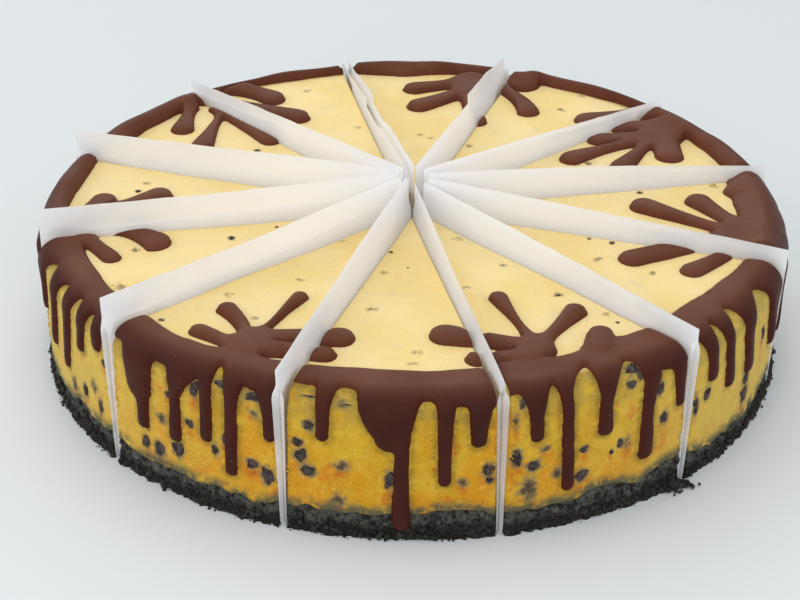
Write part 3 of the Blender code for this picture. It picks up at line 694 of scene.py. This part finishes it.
def add_filling(index, letter, material):
    across = np.linspace(0.0, 1.0, 84)[:, None]
    top_r, angle, side = filling_outline()
    nominal = slice_azimuth(index, across, CAKE_RADIUS, 20.0)
    edge = crust_edge(nominal) + CLEARANCE
    ones = np.ones_like(across)
    radius = [between(tip_radius(TOP_Z), FLAT_RADIUS, top_r)[None] * ones]
    height = [TOP_Z * ones * np.ones_like(top_r)[None]]
    radius.append((FLAT_RADIUS + RIM_ROUND * np.sin(angle[1:]))[None] * ones)
    height.append((SIDE_TOP + RIM_ROUND * np.cos(angle[1:]))[None] * ones)
    radius.append(CAKE_RADIUS * np.ones_like(side[1:])[None] * ones)
    height.append(between(SIDE_TOP, edge, side[None, 1:]))
    low = CRUST_TOP + CLEARANCE
    for inner in (108.0, 60.0, float(tip_radius(low))):
        radius.append(inner * ones)
        height.append(low * ones)
    radius, height = np.hstack(radius), np.hstack(height)
    azimuth = slice_azimuth(index, across, radius, height)
    points = on_cylinder(radius, azimuth, height)
    rim = len(top_r)
    foot = rim + len(angle) - 1 + len(side) - 1
    flat = points[:, :rim]
    ease = smooth_step(0.0, 10.0, FLAT_RADIUS - radius[:, :rim])
    points[:, :rim, 2] += ease * (0.30 * bumps(flat, 24.0, 5) + 0.10 * bumps(flat, 7.0, 6))
    wall = points[:, rim:foot]
    near_cut = np.minimum(across, 1.0 - across) * math.radians(SLICE_ANGLE) * CAKE_RADIUS
    ragged = 0.3 + 0.55 * np.exp(-near_cut / 1.2)
    push = 0.22 * bumps(wall, 7.0, 7) - ragged * np.abs(bumps(wall, 1.8, 8))
    push_outward(wall, push * smooth_step(0.0, 3.0, TOP_Z - wall[..., 2]))
    groups = slice_faces(*radius.shape, inward=False)
    piece = add_piece(f"cream_{letter}", points, groups, material)
    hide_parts(f"filling_{letter}")
    spots = points.reshape(-1, 3)
    top = 1.0 - smooth_step(FLAT_RADIUS - 2.0, FLAT_RADIUS + 0.5, np.hypot(spots[:, 0], spots[:, 1]))
    set_values(piece, "top", top)
    above = spots[:, 2] - np.repeat(edge, radius.shape[1], axis=1).ravel()
    outer = smooth_step(100.0, 112.0, np.hypot(spots[:, 0], spots[:, 1]))
    set_values(piece, "foot", outer * (1.0 - smooth_step(0.5, 4.5, above)))
    set_values(piece, "stain", stain_values(spots))
    set_values(piece, "streak", streak_values(spots))
    # Painted shade towards the top of the side, below the coat
    set_values(piece, "shade", smooth_step(33.0, 42.0, spots[:, 2]))
    turned = np.degrees(np.arctan2(spots[:, 1], spots[:, 0]))
    aside = 1.0 - np.exp(-((turned - BROWNEST_AZIMUTH) / BROWN_SPREAD) ** 4)
    set_values(piece, "aside", aside)
    set_values(piece, "low", smooth_step(27.0, 12.0, spots[:, 2]) * (1.0 - 0.6 * aside))
    down = np.where(height < SIDE_TOP, RIM_LENGTH + SIDE_TOP - height, radius - FLAT_RADIUS)
    arc = RIM_ROUND * np.arcsin(np.clip((radius - FLAT_RADIUS) / RIM_ROUND, 0.0, 1.0))
    down = np.where((height >= SIDE_TOP) & (radius > FLAT_RADIUS), arc, down)
    places = on_cylinder(FLAT_RADIUS + down, azimuth, 0.0)[..., :2]
    depth, _ = coat_depth(index, letter, azimuth, down, places)
    # Painted shadow along the edges of the coat on the side
    set_values(piece, "beside", smooth_step(-2.4, -0.2, depth).ravel() * (1.0 - top))


def skin_frame(azimuth, down):
    """Place on the filling's skin with its directions: sideways, outward and up along it."""
    point, above = skin_points(azimuth, down, 0.0), skin_points(azimuth, down, 1.0)
    turn = math.radians(azimuth)
    aside = np.array((-math.sin(turn), math.cos(turn), 0.0))
    outward = above - point
    return point, aside, outward, np.cross(outward, aside)


def inside_slice(azimuth, radius, width):
    """Azimuth moved so that a chip of this width keeps clear of the cuts."""
    margin = math.degrees((HALF_GAP_HIGH + CLEARANCE + width / 2) / radius)
    offset = (azimuth - FIRST_CUT) % SLICE_ANGLE
    return azimuth - offset + min(max(offset, margin), SLICE_ANGLE - margin)


def all_chips():
    """Every chip as azimuth, distance down, width, height and darkness."""
    chips = []
    for azimuth, down, width, height, dark in SIDE_CHIPS:
        chips.append((inside_slice(azimuth, CAKE_RADIUS, width), down, width, height, dark))
    for x, y, size, dark in TOP_CHIPS:
        radius = math.hypot(x, y)
        azimuth = inside_slice(math.degrees(math.atan2(y, x)), radius, size)
        chips.append((azimuth, radius - FLAT_RADIUS, size, size * 0.8, dark))
    draw = random.Random(HIDDEN_CHIP_SEED)
    for letter in HIDDEN_SLICES:
        start = cut_azimuth(SLICE_NAMES.index(letter))
        for _ in range(HIDDEN_CHIPS):
            past, *rest = [draw.uniform(*limits) for limits in HIDDEN_CHIP_RANGES]
            chips.append((start + past, *rest))
    return chips


def stain_values(spots):
    """Grey-blue stain round the chips, from 0 to 1."""
    stain = np.zeros(len(spots))
    for azimuth, down, width, height, dark in all_chips():
        point, aside, outward, along = skin_frame(azimuth, down)
        offset = spots - point
        near = ((offset @ aside) / width) ** 2 + ((offset @ along) / height) ** 2
        near = near + ((offset @ outward) / STAIN_DEPTH) ** 2
        strength = 1.1 if dark >= 0.5 else 0.45 + dark
        near = near * (1.3 if dark >= 0.5 else 1.0)
        if down < 0.0:
            strength, near = 0.7 * strength, 1.6 * near
        stain = np.maximum(stain, strength * np.exp(-1.5 * near))
    return stain


def streak_values(spots):
    """Orange streaks below the chips at the side, from 0 to 1."""
    streak = np.zeros(len(spots))
    for number, (azimuth, down, width, height, dark) in enumerate(all_chips()):
        if down < 8.0 or number % 3 == 0:
            continue
        point, aside, outward, along = skin_frame(azimuth, down + height * 0.9)
        offset = spots - point
        near = ((offset @ aside) / (width * 0.9)) ** 2 + ((offset @ along) / (height * 1.3)) ** 2
        near = near + ((offset @ outward) / STAIN_DEPTH) ** 2
        streak = np.maximum(streak, 0.8 * np.exp(-1.6 * near))
    return streak


def add_chips(material):
    """Flush chips as one mesh of flat, uneven lenses."""
    draw = random.Random(HIDDEN_CHIP_SEED + 1)
    turns = np.linspace(0.0, 2.0 * math.pi, CHIP_CORNERS, endpoint=False)
    points, quads = [], []
    for azimuth, down, width, height, dark in all_chips():
        if dark < 0.5 or (down < 0.0 and dark < 0.75):
            continue
        if down < 0.0:
            width, height = 0.7 * width, 0.7 * height
        point, aside, outward, along = skin_frame(azimuth, down)
        shape = np.ones_like(turns)
        for waves, size in CHIP_WAVES:
            shape = shape + size * np.sin(waves * turns + draw.uniform(0.0, 2.0 * math.pi))
        lean = draw.uniform(-0.5, 0.5)
        flat = min(1.0, 0.45 * min(width, height))
        first = len(points) * len(turns)
        for reach, lift in CHIP_RINGS:
            u = 0.5 * width * reach * shape * np.cos(turns)
            v = 0.5 * height * reach * shape * np.sin(turns)
            u = u + lean * 0.3 * v
            ring = point + u[:, None] * aside + v[:, None] * along + flat * lift * outward
            points.append(ring)
        quads.append(first + grid_quads(len(CHIP_RINGS), len(turns), closed=True))
    faces = np.concatenate(quads)[:, ::-1]
    add_piece("chips", np.concatenate(points), [faces], material)


def add_crust(index, letter, material):
    across = np.linspace(0.0, 1.0, 130)[:, None]
    nominal = slice_azimuth(index, across, CAKE_RADIUS, 4.0)
    edge = crust_edge(nominal)
    ones = np.ones_like(across)
    side = np.linspace(0.0, 1.0, 22)[None]
    radius = [float(tip_radius(0.0)) * ones, 60.0 * ones, 108.0 * ones]
    height = [0.0 * ones] * 3
    radius.append((CAKE_RADIUS - 0.7) * ones * np.ones_like(side))
    height.append(edge * side)
    for inner in (112.0, 108.0, 60.0, float(tip_radius(CRUST_TOP))):
        radius.append(inner * ones)
        height.append(np.full_like(ones, CRUST_TOP))
    radius, height = np.hstack(radius), np.hstack(height)
    azimuth = slice_azimuth(index, across, radius, height)
    points = on_cylinder(radius, azimuth, height)
    wall = points[:, 3:3 + side.size]
    push = sum(depth * bumps(wall, size, seed) for depth, size, seed in CRUST_LUMPS)
    push = push + 0.7 * smooth_step(0.6, 0.0, side) - 0.5 * smooth_step(0.85, 1.0, side)
    push_outward(wall, push)
    groups = slice_faces(*radius.shape, inward=True)
    piece = add_piece(f"crumbs_{letter}", points, groups, material)
    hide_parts(f"crust_{letter}")
    spots = points.reshape(-1, 3)
    share = spots[:, 2] / np.repeat(edge, radius.shape[1], axis=1).ravel()
    set_values(piece, "brow", smooth_step(0.35, 0.65, share))


def add_grains(name, places, size, draw, material):
    """Uneven grains of these sizes at these places, as one mesh."""
    shape = bmesh.new()
    bmesh.ops.create_icosphere(shape, subdivisions=1, radius=1.0)
    corners = np.array([vertex.co[:] for vertex in shape.verts])
    faces = np.array([[vertex.index for vertex in face.verts] for face in shape.faces])
    shape.free()
    count = len(places)
    stretch = draw.uniform(0.65, 1.25, (count, 1, 3))
    lumps = draw.uniform(0.75, 1.2, (count, len(corners), 1))
    turn = np.linalg.qr(draw.normal(size=(count, 3, 3)))[0]
    turn = turn * np.sign(np.linalg.det(turn))[:, None, None]
    grains = np.einsum("nij,nkj->nki", turn, corners * lumps * stretch) * size[:, None, None]
    points = grains + places[:, None]
    numbers = faces + len(corners) * np.arange(count)[:, None, None]
    points[..., 2] = np.maximum(points[..., 2], 0.02)
    add_piece(name, points, [numbers.reshape(-1, 3)], material)


def add_cut_crumbs(material):
    """Small crumbs of filling along both sides of each cut."""
    draw = np.random.default_rng(CRUMB_SEED + 1)
    cut = FIRST_CUT + SLICE_ANGLE * draw.integers(0, len(SLICE_NAMES), CUT_CRUMBS)
    z = draw.uniform(*CUT_CRUMB_HEIGHTS, CUT_CRUMBS)
    away = half_gap(z) + 0.2 + draw.random(CUT_CRUMBS) ** 2
    azimuth = cut + draw.choice((-1.0, 1.0), CUT_CRUMBS) * np.degrees(away / CAKE_RADIUS)
    size = 0.15 + 0.4 * draw.random(CUT_CRUMBS) ** 3
    places = on_cylinder(CAKE_RADIUS, azimuth, z)
    add_grains("cut_crumbs", places, size, draw, material)


def add_crumbs(material):
    """Loose grains over the crust's side, along its foot and in one clump."""
    draw = np.random.default_rng(CRUMB_SEED)
    azimuth = draw.uniform(-180.0, 180.0, CRUMBS)
    size = CRUMB_SMALLEST + CRUMB_RANGE * draw.random(CRUMBS) ** 4.0
    z = size * 0.6 + (crust_edge(azimuth) - 2.4) * draw.random(CRUMBS) ** 2.2
    radius = CAKE_RADIUS - 0.5 + 0.7 * draw.random(CRUMBS)
    fallen = draw.random(CRUMBS) < FALLEN_SHARE
    size = np.where(fallen, np.minimum(size, FALLEN_SIZE), size)
    z = np.where(fallen, size * 0.55, z)
    radius = np.where(fallen, CAKE_RADIUS + 0.3 + 0.9 * draw.random(CRUMBS), radius)
    cuts = np.abs((azimuth - FIRST_CUT + SLICE_ANGLE / 2) % SLICE_ANGLE - SLICE_ANGLE / 2)
    keep = cuts > CRUMBS_FROM_CUT
    places, size = on_cylinder(radius, azimuth, z)[keep], size[keep]
    heap = draw.normal(0.0, 1.0, (CLUMP_GRAINS, 3)) * np.array(CLUMP_SPREAD)
    lean = math.radians(CLUMP_TURN)
    turned = heap @ np.array(
        ((math.cos(lean), math.sin(lean), 0.0), (-math.sin(lean), math.cos(lean), 0.0),
         (0.0, 0.0, 1.0)))
    heap_size = 0.4 + 0.7 * draw.random(len(heap))
    turned[:, 2] = heap_size * 0.55 + np.abs(turned[:, 2]) * np.exp(-np.abs(heap[:, 0]) / 6.0)
    turned[:, :2] += CLUMP_PLACE
    places, size = np.concatenate((places, turned)), np.concatenate((size, heap_size))
    add_grains("loose_crumbs", places, size, draw, material)


# Chocolate coat

class Stroke:
    """A run of chocolate from start to end, with a half width along it and a round end."""

    def __init__(self, start, end, half_width, bow=0.0):
        self.start = np.array(start, float)
        self.along = np.array(end, float) - self.start
        self.half_width = half_width
        self.bow = bow

    def depth(self, places):
        length = np.hypot(*self.along)
        offset = places - self.start
        part = np.clip(offset @ self.along / length ** 2, 0.0, 1.0)
        across = np.array((-self.along[1], self.along[0])) / length
        middle = part[..., None] * self.along
        middle = middle + (self.bow * 4.0 * part * (1.0 - part))[..., None] * across
        return self.half_width(part) - np.linalg.norm(offset - middle, axis=-1)


def finger_width(neck, tip):
    """Half width along a finger: a flared root, then from its neck to its tip."""
    def half_width(part):
        return neck + 0.6 * (1.0 - smooth_step(0.0, 0.25, part)) + (tip - neck) * part ** 2
    return half_width


def side_place(azimuth, down):
    """Place on the unrolled side."""
    return np.array((math.radians(azimuth) * CAKE_RADIUS, down))


def hidden_drips(index):
    """Drips and arches of a slice that the front doesn't show, by a seeded rule."""
    draw = random.Random(HIDDEN_DRIP_SEED + index)
    drips, arches = [], []
    azimuth = cut_azimuth(index) + draw.uniform(2.8, 4.0)
    while azimuth < cut_azimuth(index) + SLICE_ANGLE - 2.4:
        half = draw.uniform(*HIDDEN_DRIP_HALVES)
        lean = draw.uniform(*HIDDEN_DRIP_LEANS)
        drips.append((azimuth, azimuth + lean, draw.uniform(*HIDDEN_DRIP_TIPS), half, half + 0.1))
        step = draw.uniform(*HIDDEN_DRIP_SPACING)
        arches.append(
            (azimuth + step / 2, draw.uniform(*HIDDEN_ARCHES), draw.uniform(*HIDDEN_ARCH_HALVES)))
        azimuth += step
    return drips, arches


def drip_depth(places, drip, arches):
    """How deep places lie inside a drip, which widens towards the arches on both sides."""
    azimuth, tip_azimuth, tip_z, half, tip_half = drip
    end = RIM_LENGTH + SIDE_TOP - tip_z - tip_half
    root, tip = side_place(azimuth, 0.0), side_place(tip_azimuth, end)
    part = np.clip(places[..., 1] / end, 0.0, 1.0)
    offset = places[..., 0] - between(root[0], tip[0], part)
    width = between(half, tip_half, smooth_step(0.65, 1.0, part))
    edges = []
    for side in (-1.0, 1.0):
        beside = [arch for arch in arches if (arch[0] - azimuth) * side > 0]
        extra, top = 1.5, 3.0
        if beside:
            arch = min(beside, key=lambda arch: abs(arch[0] - azimuth))
            top = arch[1]
            extra = abs(side_place(arch[0], 0.0)[0] - root[0]) - arch[2] - half
        flare = np.clip(1.0 - (places[..., 1] - top) / DRIP_FLARE, 0.0, 1.0) ** 1.8
        edges.append(width + max(extra, 0.0) * flare - side * offset)
    along = np.minimum(*edges)
    beyond = tip_half - np.hypot(places[..., 0] - tip[0], places[..., 1] - end)
    start = max([arch[1] for arch in arches if abs(arch[0] - azimuth) < 8.0] + [0.0]) - 6.0
    along = np.minimum(along, places[..., 1] - start)
    return np.where(places[..., 1] < end, along, beyond)


def coat_depth(index, letter, azimuth, down, flat_places):
    """How deep places lie inside a slice's poured chocolate, and inside its splashes alone."""
    if letter in DRIPS:
        drips, arches = DRIPS[letter], ARCHES[letter]
    else:
        drips, arches = hidden_drips(index)
    thirds = cut_azimuth(index) + SLICE_ANGLE * np.arange(4) / 3
    inner = np.interp(azimuth, thirds, COAT_EDGES[letter]) - FLAT_RADIUS
    arch_down = np.interp(azimuth, [arch[0] for arch in arches], [arch[1] for arch in arches])
    side_places = np.stack((np.radians(azimuth) * CAKE_RADIUS, down), axis=-1)
    inner = inner + 0.5 * bumps(on_cylinder(FLAT_RADIUS, azimuth, 0.0), 12.0, 20)
    depth = np.minimum(down - inner, arch_down - down)
    for drip in drips:
        depth = smooth_max(depth, drip_depth(side_places, drip, arches), DRIP_BLEND)
    if letter in TONGUES:
        (start_azimuth, start, start_half), (end_azimuth, end, end_half) = TONGUES[letter]
        tongue = Stroke(
            side_place(start_azimuth, start), side_place(end_azimuth, end),
            lambda part: between(start_half, end_half, part * part))
        depth = smooth_max(depth, tongue.depth(side_places), DRIP_BLEND)
    splash = np.full_like(depth, -50.0)
    for (palm_x, palm_y, palm_half), fingers in SPLASHES:
        apart = np.hypot(flat_places[..., 0] - palm_x, flat_places[..., 1] - palm_y)
        if apart.min() > 60.0:
            continue
        splash = smooth_max(splash, palm_half - apart, SPLASH_BLEND)
        for root, tip, neck_half, tip_half, *bow in fingers:
            stroke = Stroke(root, tip, finger_width(neck_half, tip_half), *bow)
            splash = smooth_max(splash, stroke.depth(flat_places), SPLASH_BLEND)
    splash = between(-50.0, splash, smooth_step(4.0, 0.0, down))
    return smooth_max(depth, splash, SPLASH_BLEND), splash


def dome_heights(depth, spacing):
    """Height of poured chocolate from 0 to 1: rounded at its edges and level inside."""
    cover = np.clip(depth / spacing + 0.5, 0.0, 1.0)
    pull = (COAT_SPREAD / spacing) ** 2
    level = cover.copy()
    for _ in range(60):
        padded = np.pad(level, 1, mode="edge")
        beside = padded[:-2, 1:-1] + padded[2:, 1:-1] + padded[1:-1, :-2] + padded[1:-1, 2:]
        level = (cover + pull * beside) / (1.0 + 25.0 * (1.0 - cover) + 4.0 * pull)
    return np.clip(level, 0.0, 1.0) ** 0.6


def skin_points(azimuth, down, height):
    """Points over the filling's top, rim or side at a height above it."""
    turn = np.clip(down / RIM_ROUND, 0.0, math.pi / 2)
    radius = FLAT_RADIUS + np.minimum(down, 0.0) + (RIM_ROUND + height) * np.sin(turn)
    z = SIDE_TOP + (RIM_ROUND + height) * np.cos(turn) - np.maximum(down - RIM_LENGTH, 0.0)
    return on_cylinder(radius, azimuth, z)


def add_coat(index, letter, material):
    """A slice's chocolate as one skin: domed outside, hidden in the filling inside."""
    rows = int((COAT_DOWN[1] - COAT_DOWN[0]) / COAT_STEP)
    columns = int(math.radians(SLICE_ANGLE) * CAKE_RADIUS / COAT_STEP)
    down = np.linspace(*COAT_DOWN, rows)[:, None]
    across = np.linspace(0.0, 1.0, columns)[None]
    base = skin_points(0.0, down, 0.0)
    azimuth = slice_azimuth(index, across, base[..., 0], base[..., 2])
    down = np.broadcast_to(down, azimuth.shape)
    flat_places = on_cylinder(FLAT_RADIUS + down, azimuth, 0.0)[..., :2]
    depth, splash = coat_depth(index, letter, azimuth, down, flat_places)
    surface = skin_points(azimuth, down, 0.0)
    depth = depth + 0.18 * bumps(surface, 6.0, 21)
    reach = np.minimum(FLAT_RADIUS + down, CAKE_RADIUS)
    to_cut = np.minimum(across, 1.0 - across) * math.radians(SLICE_ANGLE) * reach
    shoulder = 0.62 + 0.38 * smooth_step(0.0, 1.8, to_cut)
    bead = COAT_BEAD if letter in HIDDEN_SLICES else 0.0
    bead = bead * (1.0 + 0.22 * bumps(surface, 11.0, 23))
    thick = COAT_THICK + bead * np.exp(-((down - COAT_BEAD_DOWN) / COAT_BEAD_HALF) ** 2)
    thick = thick * (1.0 + 0.07 * bumps(surface, 13.0, 22)) * shoulder
    height = thick * dome_heights(depth, COAT_STEP)
    raised = dome_heights(splash - 0.4, COAT_STEP) * smooth_step(2.0, -6.0, down)
    height = height + SPLASH_RAISE * raised * shoulder
    height = height * smooth_step(0.0, 0.7, depth) - COAT_SINK * smooth_step(0.0, -0.6, depth)
    top = skin_points(azimuth, down, height)
    back = skin_points(azimuth, down, np.full_like(height, COAT_BACK))
    numbers = np.arange(rows * columns).reshape(rows, columns)
    cell = np.stack((depth[:-1, :-1], depth[:-1, 1:], depth[1:, 1:], depth[1:, :-1]), axis=-1)
    used = cell.max(axis=-1) > 0.0
    quads = np.stack(
        (numbers[:-1, :-1], numbers[:-1, 1:], numbers[1:, 1:], numbers[1:, :-1]), axis=-1)[used]
    count = rows * columns
    edges = np.concatenate([quads[:, [k, (k + 1) % 4]] for k in range(4)])
    forward = edges[:, 0].astype(np.int64) * count + edges[:, 1]
    backward = edges[:, 1].astype(np.int64) * count + edges[:, 0]
    border = edges[~np.isin(forward, backward)]
    walls = np.stack(
        (border[:, 1], border[:, 0], border[:, 0] + count, border[:, 1] + count), axis=-1)
    faces = np.concatenate((quads, quads[:, ::-1] + count, walls))
    points = np.concatenate((top.reshape(-1, 3), back.reshape(-1, 3)))
    keep = np.unique(faces)
    place = np.zeros(len(points), np.int64)
    place[keep] = np.arange(len(keep))
    faces = place[faces][:, ::-1]
    piece = add_piece(f"coat_{letter}", points[keep], [faces], material)
    # Painted shade: the coat darkens down the side
    set_values(piece, "side", smooth_step(-2.0, 6.0, np.tile(down.ravel(), 2)[keep]))
    set_values(piece, "edge", 1.0 - smooth_step(0.0, 0.9, np.tile(depth.ravel(), 2)[keep]))
    nodes = [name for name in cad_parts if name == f"ganache_{letter}"
             or name.startswith(f"splash_{letter}_")]
    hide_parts(*sorted(nodes))


# Folded papers

def paper_half_width(radius, outer, z, lift_z, spread, meet):
    """Half the width between both leaves, inside the cut and past the papers beside it."""
    inside = half_gap(np.minimum(z, PAPER_CREAM_Z)) - CLEARANCE
    lift = smooth_step(PAPER_CREAM_Z - 2.5, between(PAPER_CREAM_Z, lift_z, 0.4), z)
    inside = between(inside, spread / 2, lift)
    behind = outer - radius
    pinch = smooth_step(0.0, meet, behind) * smooth_step(26.0, 12.0, behind)
    inside = inside * (1.0 - 0.95 * pinch * (1.0 - lift))
    return np.minimum(inside, radius * math.sin(HALF_SLICE) - PAPER_SPACE)


def add_paper(number, material):
    """One sheet: up one side of a cut, folded at its foot and up the other side."""
    corner_radius, corner_z, middle_z, inner_z, spread, meet, drops = PAPERS[number]
    part = np.sin(np.linspace(0.0, math.pi / 2, 110))[:, None]
    top_z = np.interp(part, (0.0, 0.5, 1.0), (inner_z, middle_z, corner_z))
    rise = np.linspace(0.0, 1.0, 34)[None]
    fold = np.linspace(0.0, 90.0, 6)[None, :-1]
    sides, heights = [], []
    for sign, drop in zip((-1.0, 1.0), drops):
        edge_z = top_z - drop * between(0.8, 1.0, part)
        edge_z = edge_z - 0.25 * np.abs(bumps(on_cylinder(120.0 * part, 7.0 * sign, 0.0), 9.0, 61))
        z = between(PAPER_FOLD_Z + PAPER_FOLD_RISE, edge_z, rise)
        lift = np.clip(z / corner_z, 0.0, 1.0)
        outer = between(PAPER_FOOT_RADIUS, corner_radius, lift)
        radius = between(PAPER_INNER_RADIUS, outer, part)
        half = paper_half_width(radius, outer, z, top_z, spread, meet)
        places = on_cylinder(radius, cut_azimuth(number), z)
        free = smooth_step(PAPER_CREAM_Z, PAPER_CREAM_Z + 7.0, z)
        sway = 0.5 * bumps(places, 34.0, 40 + number) + 0.12 * bumps(places, 7.0, 60 + number)
        sway = free * sway
        for start, end, shift in PAPER_KINKS.get(number, ()):
            sway = sway + free * shift * smooth_step(start, end, part)
        curve = np.radians(fold)
        bend = half[:, :1] * np.sin(curve)
        bend_z = PAPER_FOLD_Z + PAPER_FOLD_RISE * (1.0 - np.cos(curve))
        sides.append(np.hstack((sign * bend, sign * half + sway)))
        heights.append(np.hstack((np.broadcast_to(bend_z, bend.shape), z)))
    side = np.hstack((sides[0][:, :0:-1], sides[1]))
    height = np.hstack((heights[0][:, :0:-1], heights[1]))
    lift = np.clip(height / corner_z, 0.0, 1.0)
    radius = between(PAPER_INNER_RADIUS, between(PAPER_FOOT_RADIUS, corner_radius, lift), part)
    points = on_cylinder(radius, cut_azimuth(number), height)
    turn = math.radians(cut_azimuth(number) + 90.0)
    points = points + side[..., None] * np.array((math.cos(turn), math.sin(turn), 0.0))
    rows, columns = side.shape
    piece = add_piece(
        f"divider_{number + 1}", points, [grid_quads(rows, columns)], material)
    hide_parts(f"paper_{number + 1}")
    # Nearness to the rim, for the paper's painted cool-grey shade
    set_values(piece, "rim", smooth_step(60.0, 112.0, radius))


# Stage, camera and light

def add_stage():
    bpy.ops.mesh.primitive_plane_add(size=FLOOR_SIZE, location=FLOOR_MIDDLE)
    floor = bpy.context.object
    floor.name = "floor"
    floor.data.materials.append(floor_look())


def add_camera():
    data = bpy.data.cameras.new("camera")
    data.lens = CAMERA_LENS
    data.sensor_width = CAMERA_SENSOR
    data.clip_start = 0.01
    camera = bpy.data.objects.new("camera", data)
    bpy.context.scene.collection.objects.link(camera)
    tilt = Matrix.Rotation(math.radians(90.0 - CAMERA_ELEVATION), 4, "X")
    roll = Matrix.Rotation(math.radians(CAMERA_ROLL), 4, "Z")
    place = Matrix.Translation([value * MM for value in CAMERA_PLACE])
    camera.matrix_world = place @ tilt @ roll
    bpy.context.scene.camera = camera
    bpy.context.scene.view_settings.view_transform = "Standard"


def add_light(name, place, size, power, colour):
    data = bpy.data.lights.new(name, "AREA")
    data.shape = "RECTANGLE"
    data.size, data.size_y = size
    data.energy = power
    data.color = colour
    light = bpy.data.objects.new(name, data)
    bpy.context.scene.collection.objects.link(light)
    away = np.array(place) - np.array(LIGHT_TARGET)
    distance = np.linalg.norm(away)
    tilt = math.acos(away[2] / distance)
    turn = math.atan2(away[0], -away[1])
    light.matrix_world = (
        Matrix.Translation(place) @ Matrix.Rotation(turn, 4, "Z") @ Matrix.Rotation(tilt, 4, "X"))


def add_lights():
    world = bpy.data.worlds.new("studio")
    bpy.context.scene.world = world
    world.use_nodes = True
    sky = world.node_tree.nodes["Background"]
    sky.inputs["Color"].default_value = SKY_COLOUR
    sky.inputs["Strength"].default_value = SKY_STRENGTH
    for name, settings in LIGHTS.items():
        add_light(name, *settings)


def build():
    cream, crust, ganache, paper = filling_look(), crust_look(), ganache_look(), paper_look()
    for index, letter in enumerate(SLICE_NAMES):
        add_filling(index, letter, cream)
        add_crust(index, letter, crust)
        add_coat(index, letter, ganache)
    for number in range(len(PAPERS)):
        add_paper(number, paper)
    add_chips(chip_look())
    add_crumbs(crumb_look())
    add_cut_crumbs(cream)
    add_stage()
    add_camera()
    add_lights()


build()
